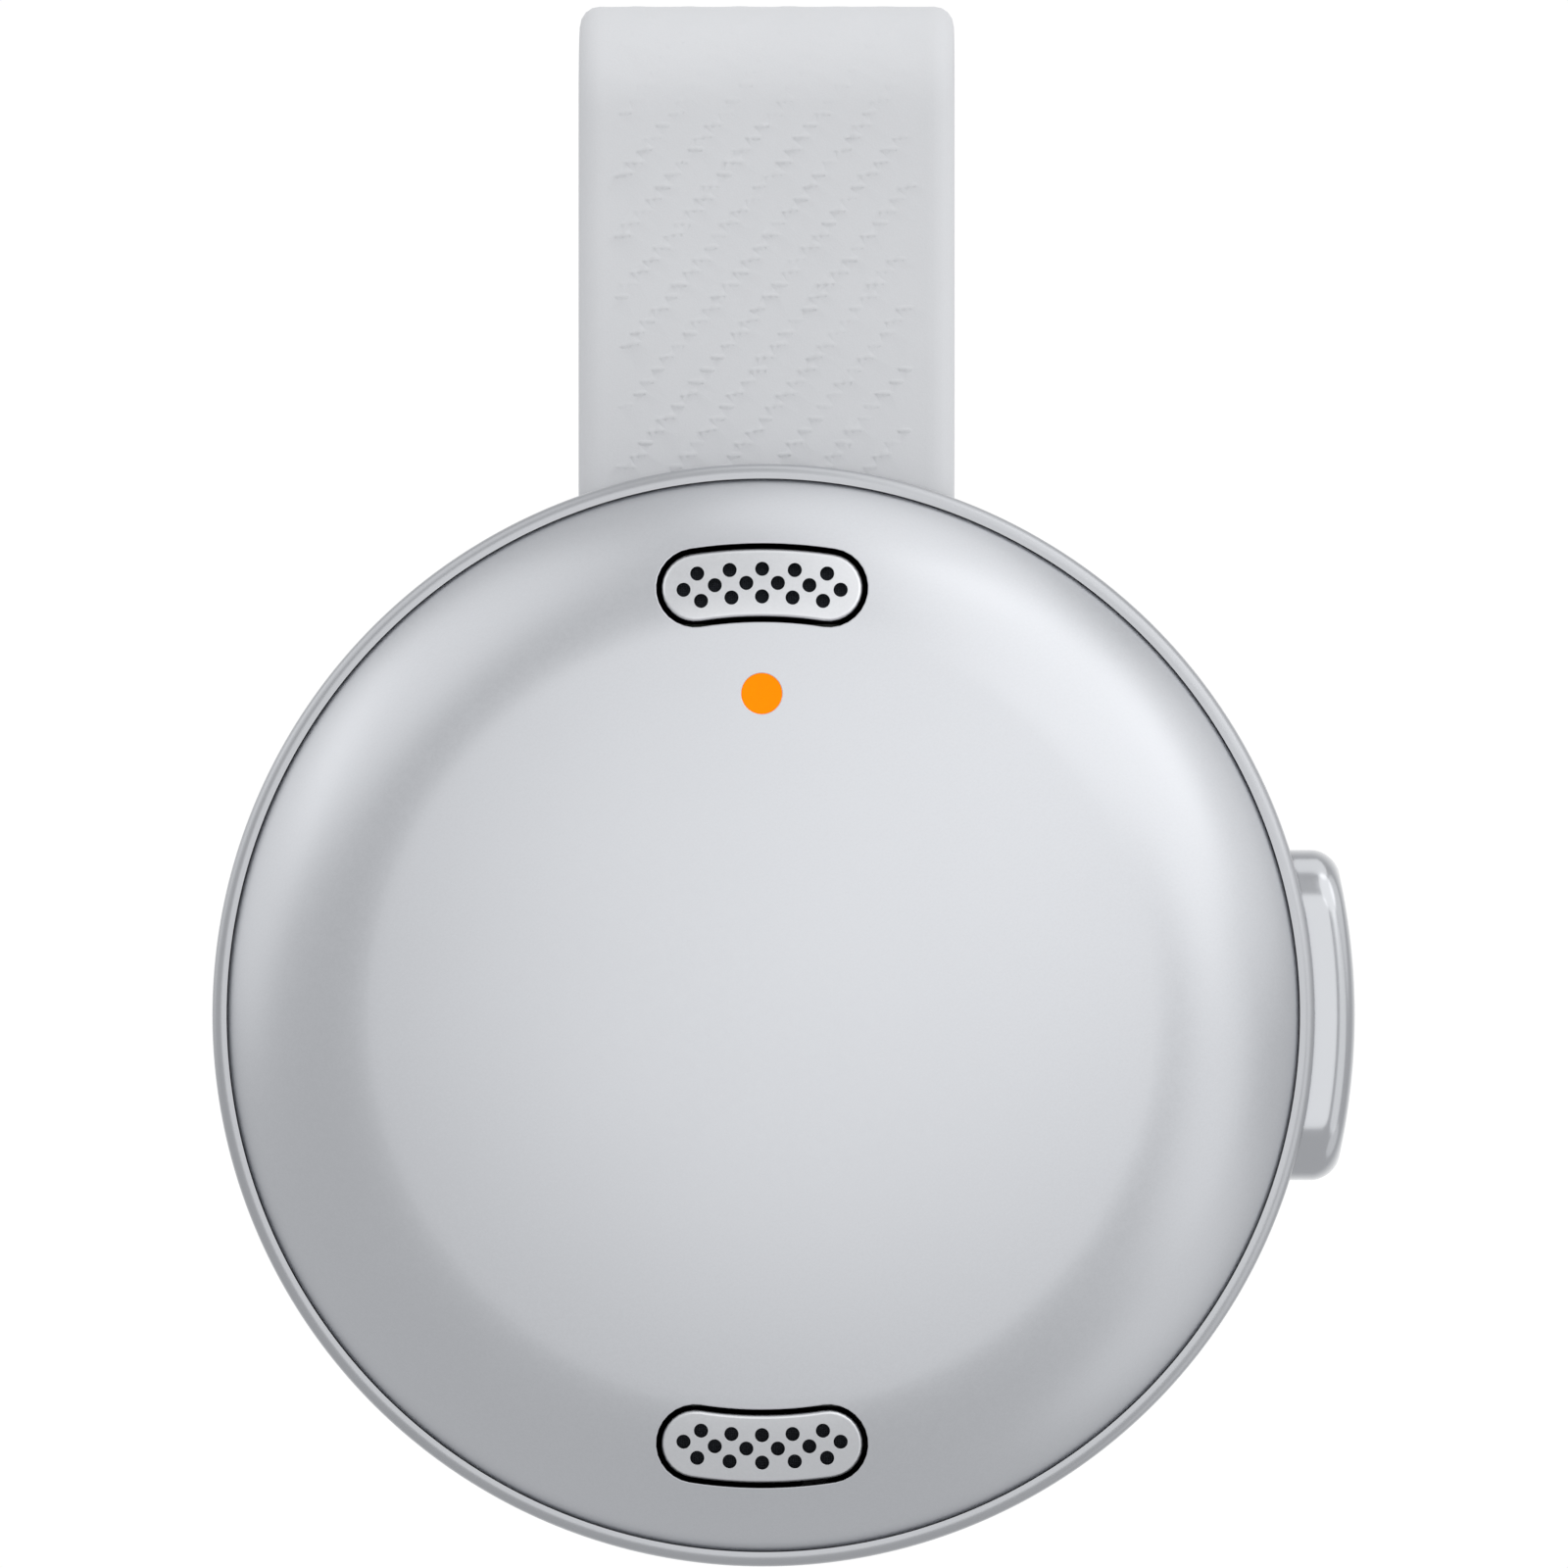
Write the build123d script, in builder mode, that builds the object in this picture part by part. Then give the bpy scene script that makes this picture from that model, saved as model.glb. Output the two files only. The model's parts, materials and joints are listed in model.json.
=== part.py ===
from build123d import *
from math import cos, radians, sin, sqrt
import os

os.makedirs("parts", exist_ok=True)

# A clip-on streaming media player: a domed disc that is one large press key, with two
# fixed grilles standing in slots of the dome, a status light, a volume rocker at the
# right of the rim, a charging socket at its left, and a sprung strap clip at the back.
#
# Frame, in millimetres: X right, Y to the rear, Z up. The origin is on the disc's axis at
# the flat back, where the clip's jaw grips cloth. The front faces -Y.

# Disc
disc_radius = 22.0
seam_y = -2.2           # rear cover meets the chassis ring
lip_y = -8.0            # front edge of the ring's lip
shoulder_y = -7.0       # ring's inner shoulder, and front of the inner frame
lip_inner_radius = 21.52
ring_inner_radius = 20.6
ledge_inner_radius = 19.7
ledge_rear_y = -5.5
lip_round = 0.42

# Fits
touch_gap = 0.01        # between two pieces that rest on each other
slip_gap = 0.02         # around a piece that is pushed into its seat
pin_gap = 0.03          # around the rocker's pin

# Front cover, the press key
cover_radius = 21.4
cover_wall = 1.2
cover_edge_y = -7.4
cover_edge_round = 0.5
crown_tilt = 9.0        # degrees from the axis where the crown meets the shoulder
crown_end_radius = 15.5
rim_tilt = 60.0         # degrees where the shoulder ends
dome_rim_y = -7.85
switch_post_y = -9.62
switch_post_radius = 1.5
plunger_rear_y = -8.55
plunger_radius = 1.0

# Snap hooks of the front cover
hook_angles = (62, 118, 242, 298)
hook_width = 3.0
hook_orbit = 19.8
hook_thickness = 0.8
hook_barb = 0.5
hook_barb_height = 0.43
hook_root_y = -8.9

# Grilles and status light
grille_orbit = 17.25
grille_half_angle = 8.84
grille_slot_width = 3.14
grille_gap = 0.22
grille_inset = 0.03
grille_thickness = 0.5
grille_hole_radius = 0.28
grille_row_step = 0.55
grille_hole_step = 4.18  # degrees between the holes of a row
grille_rows = ((-1, 5), (0, 6), (1, 5))
mesh_thickness = 0.12
duct_wall = 0.45
light_height = 12.83
light_radius = 0.8
lens_flange_radius = 1.4
lens_rear_y = -9.05
lens_flange_y = -10.25

# Inner frame and boards
frame_radius = 20.5
frame_rear_y = -6.2
board_front_y = -8.1
board_rear_y = -7.3
board_radius = 19.2
board_screw_points = ((9.5, 12.0), (-9.5, 12.0), (10.5, -13.5), (-10.5, -13.5))
board_screw_radius = 0.6
board_boss_radius = 1.3
board_boss_rear_y = -4.6
post_orbit = 18.0
post_angles = (40, 140, 220, 320)
post_radius = 1.6
post_rear_y = -2.9
post_screw_radius = 0.78

# Volume rocker
key_y = -4.85
key_thickness = 4.2
key_half_length = 6.6
key_front_x = 23.6
key_face_radius = 25.8
key_edge_round = 0.9
key_inner_x = 20.3
key_side_gap = 0.15
key_end_gap = 0.25
key_bay_height = 18.6   # room left for the rocker's bracket inside the ring
pivot_x = 19.5
pivot_radius = 0.4
lug_width = 2.4
bracket_x = 17.4
bracket_plate = 0.5
bracket_width = 2.7
bracket_screw_z = 8.1
bracket_screw_radius = 0.49
switch_z = 4.8
switch_x = 18.3
switch_depth = 0.8
switch_dome_height = 0.5

# Charging socket
socket_y = -4.62
socket_width = 8.94
socket_height = 3.16
socket_depth = 7.0
socket_wall = 0.3
socket_mouth_x = -21.45
tongue_thickness = 0.7
tongue_width = 6.69

# Speaker
speaker_width = 13.6
speaker_height = 8.8
speaker_z = -13.8
speaker_front_y = -5.9
speaker_depth = 2.8
speaker_rim = 0.7
speaker_recess = 0.9

# Battery
battery_size = (28.4, 15.8)
battery_centre = (0.3, -0.7)
battery_depth = 4.2
battery_rear_y = -1.7
lead_radius = 0.25
lead_xs = (3.1, 4.1)
lead_notch = (3.6, 9.4)

# Rear cover and clip
rear_wall = 1.2
rear_round = 2.0
spigot_y = -2.8
seal_inner_radius = 20.95
seal_outer_radius = 21.55
seal_depth = 0.25
strap_width = 15.0
strap_thickness = 1.8
strap_edge = 0.8
strap_foot_z = 8.1
strap_foot_round = 2.5
strap_top_z = 40.5
loop_gap = 4.4
leg_bend_z = 25.0
jaw_y = 1.6             # middle of the strap at the jaw
jaw_z = -4.0
tip_z = -15.0
tip_round = 3.5
rib_radius = 0.32
rib_count = 5
rib_step = 1.6
first_rib = 3.2         # distance up the leg from the jaw
core_width = 11.0
core_thickness = 0.5
core_foot_z = 9.3
core_tip_z = -12.5
clamp_width = 9.5
clamp_height = 5.1
clamp_thickness = 0.48
clamp_screw_x = 3.0
clamp_screw_z = 12.8
clamp_hole_radius = 0.82

# Derived places
crown_radius = crown_end_radius / sin(radians(crown_tilt))
shoulder_radius = (cover_radius - crown_end_radius) / (
    sin(radians(rim_tilt)) - sin(radians(crown_tilt))
)
shoulder_centre_r = cover_radius - shoulder_radius * sin(radians(rim_tilt))
shoulder_centre_y = dome_rim_y + shoulder_radius * cos(radians(rim_tilt))
crown_centre_y = shoulder_centre_y + (crown_radius - shoulder_radius) * cos(radians(crown_tilt))
apex_y = crown_centre_y - crown_radius
board_face_y = board_front_y - touch_gap
key_rear_y = key_y + key_thickness / 2
socket_rear_x = socket_mouth_x + socket_depth
strap_middle_y = -strap_thickness / 2
loop_inner_radius = loop_gap / 2
loop_z = strap_top_z - loop_inner_radius - strap_thickness
loop_axis = Axis((0, loop_inner_radius, loop_z), (-1, 0, 0))
grille_middles = {"upper": 90, "lower": 270}
grille_arcs = {
    place: CenterArc((0, 0), grille_orbit, middle - grille_half_angle, 2 * grille_half_angle)
    for place, middle in grille_middles.items()
}
island_width = grille_slot_width - 2 * grille_gap
duct_width = island_width - 2 * duct_wall
duct_top_inset = grille_inset + grille_thickness + mesh_thickness + 2 * slip_gap
post_points = [
    (post_orbit * cos(radians(angle)), post_orbit * sin(radians(angle))) for angle in post_angles
]
bracket_screw_points = ((key_y, bracket_screw_z), (key_y, -bracket_screw_z))
switch_points = ((key_y, switch_z), (key_y, -switch_z))
clamp_points = ((clamp_screw_x, clamp_screw_z), (-clamp_screw_x, clamp_screw_z))
through = 20.0          # long enough to cut or reach right through


def facing(y):
    """The plane at y that looks out of the disc's front: its local axes are X and Z."""
    return Plane.XZ.offset(-y)


def save(builder, name):
    """Labels a finished piece and writes it to its own file."""
    builder.part.label = name
    export_step(builder.part, f"parts/{name}.step")


def dome_section(inset, floor_y, edge_round=0):
    """Half section under the dome, with its surface moved inward by inset, down to floor_y."""
    with BuildSketch() as section:
        with BuildLine():
            crown = CenterArc((0, crown_centre_y), crown_radius - inset, -90, crown_tilt)
            shoulder = CenterArc(
                (shoulder_centre_r, shoulder_centre_y),
                shoulder_radius - inset,
                crown_tilt - 90,
                rim_tilt - crown_tilt,
            )
            rim = shoulder @ 1
            Polyline(rim, (rim.X, floor_y), (0, floor_y), crown @ 0)
        make_face()
        if edge_round:
            fillet(section.vertices().sort_by_distance(rim)[0], edge_round)
    return section.sketch


def ring_section(inner_radius, outer_radius, front_y, rear_y):
    """Half section of a plain ring or, with no inner radius, of a disc."""
    with BuildSketch() as section:
        with Locations(((inner_radius + outer_radius) / 2, (front_y + rear_y) / 2)):
            Rectangle(outer_radius - inner_radius, rear_y - front_y)
    return section.sketch


# ---------------------------------------------------------------- front key

with BuildPart() as front_cover:
    with BuildSketch():
        add(dome_section(0, cover_edge_y, cover_edge_round))
    revolve(axis=Axis.Y)
    with BuildSketch():
        add(dome_section(cover_wall, frame_rear_y))
    revolve(axis=Axis.Y, mode=Mode.SUBTRACT)
    with BuildSketch(facing(0)):
        for arc in grille_arcs.values():
            SlotArc(arc, grille_slot_width)
        with Locations((0, light_height)):
            Circle(light_radius + touch_gap)
    extrude(amount=through, mode=Mode.SUBTRACT)
    # Post that presses the switch
    with BuildSketch(facing(switch_post_y)):
        Circle(switch_post_radius)
    extrude(amount=switch_post_y - (apex_y + cover_wall / 2))
    # Snap hooks that hold the cover to the inner frame
    hook_foot_y = frame_rear_y + 0.5
    barb_orbit = hook_orbit - hook_barb / 2
    for angle in hook_angles:
        with BuildSketch(facing(hook_foot_y)):
            with PolarLocations(hook_orbit, 1, start_angle=angle):
                Rectangle(hook_thickness, hook_width)
        extrude(amount=hook_foot_y - hook_root_y)
        with BuildSketch(facing(hook_foot_y)):
            with PolarLocations(barb_orbit, 1, start_angle=angle):
                Rectangle(hook_thickness + hook_barb, hook_width)
        extrude(amount=hook_barb_height)
save(front_cover, "front_cover")

with BuildPart() as status_lens:
    # Flange that is glued under the dome
    with BuildSketch(facing(lens_flange_y)):
        with Locations((0, light_height)):
            Circle(lens_flange_radius)
    extrude(amount=through)
    with BuildSketch():
        add(dome_section(cover_wall + slip_gap, frame_rear_y))
    revolve(axis=Axis.Y, mode=Mode.INTERSECT)
    # Light pipe, flush with the dome in front
    with BuildSketch(facing(lens_rear_y)):
        with Locations((0, light_height)):
            Circle(light_radius)
    extrude(amount=through)
    with BuildSketch():
        add(dome_section(slip_gap, frame_rear_y))
    revolve(axis=Axis.Y, mode=Mode.INTERSECT)
save(status_lens, "status_lens")

with BuildPart() as front_switch_plunger:
    with BuildSketch(facing(plunger_rear_y)):
        Circle(plunger_radius)
    extrude(amount=plunger_rear_y - switch_post_y - slip_gap)
save(front_switch_plunger, "front_switch_plunger")

# ---------------------------------------------------------------- grilles and their sound paths

for place, arc in grille_arcs.items():
    with BuildPart() as grille:
        with BuildSketch(facing(0)):
            SlotArc(arc, island_width)
        extrude(amount=through)
        with BuildSketch():
            add(dome_section(grille_inset, 0))
        revolve(axis=Axis.Y, mode=Mode.INTERSECT)
        with BuildSketch():
            add(dome_section(grille_inset + grille_thickness, 0))
        revolve(axis=Axis.Y, mode=Mode.SUBTRACT)
        with BuildSketch(facing(0)):
            for row, count in grille_rows:
                span = (count - 1) * grille_hole_step
                with PolarLocations(
                    grille_orbit + row * grille_row_step,
                    count,
                    start_angle=grille_middles[place] - span / 2,
                    angular_range=span,
                    endpoint=True,
                ):
                    Circle(grille_hole_radius)
        extrude(amount=through, mode=Mode.SUBTRACT)
    save(grille, f"{place}_grille")

    with BuildPart() as grille_mesh:
        mesh_inset = grille_inset + grille_thickness + slip_gap
        with BuildSketch(facing(0)):
            SlotArc(arc, island_width)
        extrude(amount=through)
        with BuildSketch():
            add(dome_section(mesh_inset, 0))
        revolve(axis=Axis.Y, mode=Mode.INTERSECT)
        with BuildSketch():
            add(dome_section(mesh_inset + mesh_thickness, 0))
        revolve(axis=Axis.Y, mode=Mode.SUBTRACT)
    save(grille_mesh, f"{place}_grille_mesh")

# ---------------------------------------------------------------- inner frame

with BuildPart() as inner_frame:
    with BuildSketch(facing(frame_rear_y)):
        Circle(frame_radius)
        # Clear of the rocker at the right and of the charging board at the left
        rocker_bay_x = 17.1
        socket_bay_x = -10.8
        socket_bay_height = 13.0
        with Locations((rocker_bay_x, 0)):
            Rectangle(
                through, key_bay_height, align=(Align.MIN, Align.CENTER), mode=Mode.SUBTRACT
            )
        with Locations((socket_bay_x, 0)):
            Rectangle(
                through, socket_bay_height, align=(Align.MAX, Align.CENTER), mode=Mode.SUBTRACT
            )
        for angle in hook_angles:
            with PolarLocations(hook_orbit - hook_barb + 0.9, 1, start_angle=angle):
                Rectangle(2.0, hook_width + 0.5, mode=Mode.SUBTRACT)
        # Battery leads pass here
        with Locations(lead_notch):
            Rectangle(3.0, 1.8, mode=Mode.SUBTRACT)
    extrude(amount=frame_rear_y - shoulder_y)
    # Ducts that carry the grilles
    duct_root_y = shoulder_y + 0.1
    with BuildSketch(facing(duct_root_y)):
        for arc in grille_arcs.values():
            SlotArc(arc, island_width - 2 * slip_gap)
    extrude(amount=through)
    with BuildSketch():
        add(dome_section(duct_top_inset, 0))
    revolve(axis=Axis.Y, mode=Mode.INTERSECT)
    with BuildSketch(facing(0)):
        for arc in grille_arcs.values():
            SlotArc(arc, duct_width)
    extrude(amount=through, mode=Mode.SUBTRACT)
    # Bosses that the main board stands on, and the screw holes
    with BuildSketch(facing(board_boss_rear_y)):
        with Locations(*board_screw_points):
            Circle(board_boss_radius)
    extrude(amount=board_boss_rear_y - board_rear_y)
    with BuildSketch(facing(0)):
        with Locations(*board_screw_points):
            Circle(board_screw_radius + touch_gap)
        with Locations(*post_points):
            Circle(post_screw_radius + slip_gap)
    extrude(amount=through, mode=Mode.SUBTRACT)
save(inner_frame, "inner_frame")

with BuildPart() as microphone_boot:
    boot_rear_y = -7.2
    boot_length = 1.7
    boot_bore_radius = 0.6
    with BuildSketch(facing(boot_rear_y)):
        SlotArc(grille_arcs["upper"], duct_width - 2 * slip_gap)
        with Locations((0, grille_orbit)):
            Circle(boot_bore_radius, mode=Mode.SUBTRACT)
    extrude(amount=boot_length)
save(microphone_boot, "microphone_boot")

with BuildPart() as microphone:
    with BuildSketch(facing(frame_rear_y - slip_gap)):
        with Locations((0, grille_orbit)):
            RectangleRounded(3.0, 1.6, 0.15)
    extrude(amount=0.95)
save(microphone, "microphone")

with BuildPart() as microphone_board:
    board_thickness = 0.48
    with BuildSketch(facing(frame_rear_y + slip_gap + board_thickness)):
        with Locations((0, grille_orbit)):
            RectangleRounded(9.4, 3.4, 0.4)
    extrude(amount=board_thickness)
save(microphone_board, "microphone_board")

# ---------------------------------------------------------------- speaker


def speaker_outline(inset, corner):
    """The speaker's outline, drawn in by inset."""
    with BuildSketch() as outline:
        with Locations((0, speaker_z)):
            RectangleRounded(speaker_width - 2 * inset, speaker_height - 2 * inset, corner)
    return outline.sketch


with BuildPart() as speaker_gasket:
    gasket_thickness = speaker_front_y - frame_rear_y - 2 * touch_gap
    with BuildSketch(facing(speaker_front_y - touch_gap)):
        add(speaker_outline(0, 1.2))
        add(speaker_outline(speaker_rim, 0.8), mode=Mode.SUBTRACT)
    extrude(amount=gasket_thickness)
save(speaker_gasket, "speaker_gasket")

with BuildPart() as speaker_frame:
    with BuildSketch(facing(speaker_front_y + speaker_depth)):
        add(speaker_outline(0, 1.2))
    extrude(amount=speaker_depth)
    with BuildSketch(facing(speaker_front_y + speaker_recess)):
        add(speaker_outline(speaker_rim, 0.8))
    extrude(amount=speaker_recess, mode=Mode.SUBTRACT)
save(speaker_frame, "speaker_frame")

with BuildPart() as speaker_diaphragm:
    surround_thickness = 0.12
    cone_height = 0.4
    surround_width = 1.3
    diaphragm_y = speaker_front_y + 0.6
    with BuildSketch(facing(diaphragm_y)):
        add(speaker_outline(speaker_rim + touch_gap, 0.75))
    extrude(amount=surround_thickness)
    with BuildSketch(facing(diaphragm_y)):
        add(speaker_outline(speaker_rim + surround_width, 0.9))
    extrude(amount=cone_height)
    chamfer(speaker_diaphragm.faces().sort_by(Axis.Y)[0].edges(), 0.15)
save(speaker_diaphragm, "speaker_diaphragm")

with BuildPart() as speaker_cushion:
    cushion_rear_y = -rear_wall - slip_gap
    with BuildSketch(facing(cushion_rear_y)):
        add(speaker_outline(2.0, 0.8))
    extrude(amount=cushion_rear_y - slip_gap - (speaker_front_y + speaker_depth))
save(speaker_cushion, "speaker_cushion")

# ---------------------------------------------------------------- main board

with BuildPart() as main_board:
    with BuildSketch(facing(board_rear_y)):
        Circle(board_radius)
        # Notches for the two ducts, holes for the screws and the battery leads
        with Locations((0, board_radius), (0, -board_radius)):
            Rectangle(10.4, 7.2, mode=Mode.SUBTRACT)
        with Locations(*board_screw_points):
            Circle(board_screw_radius + 0.1, mode=Mode.SUBTRACT)
        with Locations(lead_notch):
            Rectangle(2.6, 1.6, mode=Mode.SUBTRACT)
    extrude(amount=board_rear_y - board_front_y)
save(main_board, "main_board")

with BuildPart() as board_screws:
    head_radius = 1.2
    head_height = 0.6
    screw_end_y = -5.0
    cross_length = 1.5
    cross_width = 0.35
    cross_y = board_front_y - 0.25
    with BuildSketch(facing(board_face_y)):
        with Locations(*board_screw_points):
            Circle(head_radius)
    extrude(amount=head_height)
    chamfer(board_screws.faces().filter_by(Axis.Y).group_by(Axis.Y)[0].edges(), 0.2)
    with BuildSketch(facing(screw_end_y)):
        with Locations(*board_screw_points):
            Circle(board_screw_radius)
    extrude(amount=screw_end_y - board_face_y)
    with BuildSketch(facing(cross_y)):
        with Locations(*board_screw_points):
            Rectangle(cross_length, cross_width)
            Rectangle(cross_width, cross_length)
    extrude(amount=head_height, mode=Mode.SUBTRACT)
save(board_screws, "board_screws")

with BuildPart() as processor_shield:
    with BuildSketch(facing(board_face_y)):
        with Locations((-8.6, 0.5)):
            RectangleRounded(9.6, 11.0, 0.6)
    extrude(amount=1.5)
    chamfer(processor_shield.faces().sort_by(Axis.Y)[0].edges(), 0.2)
save(processor_shield, "processor_shield")

with BuildPart() as memory_chip:
    with BuildSketch(facing(board_face_y)):
        with Locations((7.6, 1.2)):
            Rectangle(6.4, 7.6)
    extrude(amount=0.9)
save(memory_chip, "memory_chip")

with BuildPart() as antenna:
    with BuildSketch(facing(board_face_y)):
        with Locations((13.6, -8.0)):
            Rectangle(2.0, 6.8)
    extrude(amount=1.1)
save(antenna, "antenna")

with BuildPart() as status_led:
    with BuildSketch(facing(board_face_y)):
        with Locations((0, light_height)):
            RectangleRounded(1.6, 1.0, 0.12)
    extrude(amount=0.5)
save(status_led, "status_led")

with BuildPart() as front_switch:
    well_floor_y = -8.2
    well_clearance = 0.06
    with BuildSketch(facing(board_face_y)):
        RectangleRounded(4.4, 4.4, 0.5)
    extrude(amount=0.9)
    with BuildSketch(facing(well_floor_y)):
        Circle(plunger_radius + well_clearance)
    extrude(amount=through, mode=Mode.SUBTRACT)
save(front_switch, "front_switch")

with BuildPart() as board_components:
    # Rows of small parts, as the first part's X and Z, the count and the step in X
    part_rows = (
        (4.6, -5.4, 5, 1.5),
        (4.6, -7.6, 4, 1.8),
        (-12.4, 8.4, 5, 1.5),
        (-4.2, -8.6, 5, 1.6),
        (8.8, 7.4, 3, 1.6),
        (-13.5, -7.6, 4, 1.6),
    )
    for x, z, count, step in part_rows:
        with BuildSketch(facing(board_face_y)):
            with Locations(*[(x + i * step, z) for i in range(count)]):
                Rectangle(0.6, 1.1)
        extrude(amount=0.45)
    # Two coils and a crystal
    with BuildSketch(facing(board_face_y)):
        with Locations((13.6, 0.8), (13.6, 4.6)):
            RectangleRounded(2.5, 2.5, 0.3)
        with Locations((-15.6, 0.2)):
            Rectangle(2.0, 3.2)
    extrude(amount=1.0)
save(board_components, "board_components")

# ---------------------------------------------------------------- battery

with BuildPart() as battery:
    with BuildSketch(facing(battery_rear_y)):
        with Locations(battery_centre):
            RectangleRounded(*battery_size, 1.2)
    extrude(amount=battery_depth)
    fillet(battery.faces().filter_by(Axis.Y).edges(), 0.7)
save(battery, "battery")

with BuildPart() as battery_tape:
    tape_thickness = 0.26
    with BuildSketch(facing(frame_rear_y + slip_gap + tape_thickness)):
        with Locations((1.8, battery_centre[1])):
            Rectangle(22.0, 10.0)
    extrude(amount=tape_thickness)
save(battery_tape, "battery_tape")

with BuildPart() as battery_foam:
    foam_rear_y = -rear_wall - slip_gap
    with BuildSketch(facing(foam_rear_y)):
        with Locations((0.3, -1.0)):
            Rectangle(24.0, 11.0)
    extrude(amount=foam_rear_y - slip_gap - battery_rear_y)
save(battery_foam, "battery_foam")

with BuildPart() as battery_leads:
    cell_y = -3.8
    lead_end_y = -8.7
    cell_top_z = battery_centre[1] + battery_size[1] / 2
    for x in lead_xs:
        with BuildLine(Plane.YZ.offset(x)) as lead_path:
            FilletPolyline(
                (cell_y, cell_top_z + 0.05),
                (cell_y, lead_notch[1]),
                (lead_end_y, lead_notch[1]),
                (lead_end_y, lead_notch[1] - 1.4),
                radius=(0.9, 0.5),
            )
        lead_start = Plane(lead_path.line @ 0, x_dir=(1, 0, 0), z_dir=lead_path.line % 0)
        with BuildSketch(lead_start):
            Circle(lead_radius)
        sweep()
save(battery_leads, "battery_leads")

# ---------------------------------------------------------------- chassis ring

with BuildPart() as chassis_ring:
    with BuildSketch() as ring_profile:
        with BuildLine():
            Polyline(
                (lip_inner_radius, lip_y),
                (disc_radius, lip_y),
                (disc_radius, seam_y),
                (ring_inner_radius, seam_y),
                (ring_inner_radius, shoulder_y),
                (lip_inner_radius, shoulder_y),
                close=True,
            )
        make_face()
        fillet(ring_profile.vertices().sort_by_distance((disc_radius, lip_y))[0], lip_round)
        chamfer(ring_profile.vertices().sort_by_distance((disc_radius, seam_y))[0], 0.12)
    revolve(axis=Axis.Y)
    # Ledge under the inner frame, open at the rocker, the socket and the cover's hooks
    with BuildSketch(facing(ledge_rear_y)):
        Circle(ring_inner_radius + 0.05)
        Circle(ledge_inner_radius, mode=Mode.SUBTRACT)
        with Locations((ring_inner_radius, 0)):
            Rectangle(8, key_bay_height, mode=Mode.SUBTRACT)
        with Locations((-ring_inner_radius, 0)):
            Rectangle(8, 9.8, mode=Mode.SUBTRACT)
        for angle in hook_angles:
            with PolarLocations(hook_orbit - 0.2, 1, start_angle=angle):
                Rectangle(1.7, hook_width + 0.6, mode=Mode.SUBTRACT)
    extrude(amount=ledge_rear_y - frame_rear_y)
    # Screw posts, each tied to the wall by a rib
    rib_orbit = 19.4
    for angle in post_angles:
        with BuildSketch(facing(post_rear_y)):
            with PolarLocations(post_orbit, 1, start_angle=angle):
                Circle(post_radius)
            with PolarLocations(rib_orbit, 1, start_angle=angle):
                Rectangle(2.7, 1.8)
        extrude(amount=post_rear_y - frame_rear_y)
    with BuildSketch(facing(post_rear_y)):
        with Locations(*post_points):
            Circle(post_screw_radius + 2 * slip_gap)
    extrude(amount=post_rear_y - frame_rear_y, mode=Mode.SUBTRACT)
    # Blocks that carry the rocker's bracket
    block_x = bracket_x + bracket_plate + slip_gap
    with BuildSketch(Plane.YZ.offset(block_x)):
        with Locations(*bracket_screw_points):
            Rectangle(bracket_width, 1.6)
    extrude(amount=1.9)
    with BuildSketch(Plane.YZ.offset(block_x)):
        with Locations(*bracket_screw_points):
            Circle(bracket_screw_radius + touch_gap)
    extrude(amount=1.3, mode=Mode.SUBTRACT)
    # Openings for the rocker and for the charging plug
    with BuildSketch(Plane.YZ.offset(key_inner_x - 3)):
        with Locations((key_y, 0)):
            SlotOverall(
                2 * (key_half_length + key_end_gap), key_thickness + 2 * key_side_gap, rotation=90
            )
    extrude(amount=6, mode=Mode.SUBTRACT)
    with BuildSketch(Plane.YZ.offset(-disc_radius - 1)):
        with Locations((socket_y, 0)):
            SlotOverall(socket_width + socket_wall, socket_height + socket_wall, rotation=90)
    extrude(amount=4, mode=Mode.SUBTRACT)
    # Groove for the rear seal
    with BuildSketch():
        add(ring_section(seal_inner_radius, seal_outer_radius, seam_y - seal_depth, 0))
    revolve(axis=Axis.Y, mode=Mode.SUBTRACT)
save(chassis_ring, "chassis_ring")

with BuildPart() as rear_seal:
    with BuildSketch():
        add(
            ring_section(
                seal_inner_radius + pin_gap,
                seal_outer_radius - pin_gap,
                seam_y - seal_depth + touch_gap,
                seam_y - touch_gap,
            )
        )
    revolve(axis=Axis.Y)
save(rear_seal, "rear_seal")

# ---------------------------------------------------------------- volume rocker

with BuildPart() as volume_rocker:
    face_centre_x = key_front_x - key_face_radius
    corner_x = face_centre_x + sqrt(key_face_radius**2 - key_half_length**2)
    with BuildSketch(facing(key_rear_y)):
        with BuildLine():
            ThreePointArc(
                (corner_x, -key_half_length), (key_front_x, 0), (corner_x, key_half_length)
            )
            Polyline(
                (corner_x, key_half_length),
                (key_inner_x, key_half_length),
                (key_inner_x, -key_half_length),
                (corner_x, -key_half_length),
            )
        make_face()
    extrude(amount=key_thickness)
    with BuildSketch(Plane.YZ.offset(key_inner_x - 1)):
        with Locations((key_y, 0)):
            SlotOverall(2 * key_half_length, key_thickness, rotation=90)
    extrude(amount=through, mode=Mode.INTERSECT)
    fillet(volume_rocker.faces().sort_by(Axis.X)[-1].edges(), key_edge_round)
    # Pivot lug
    with BuildSketch(facing(key_y + lug_width / 2)):
        with Locations((pivot_x + 0.4, 0)):
            Rectangle(2.0, 2.0)
        with Locations((pivot_x, 0)):
            Circle(pivot_radius + pin_gap, mode=Mode.SUBTRACT)
    extrude(amount=lug_width)
    # Nubs that press the two switches
    nub_x = switch_x + switch_depth + switch_dome_height + slip_gap
    with BuildSketch(Plane.YZ.offset(nub_x)):
        with Locations(*switch_points):
            Circle(0.9)
    extrude(amount=1.0)
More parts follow.
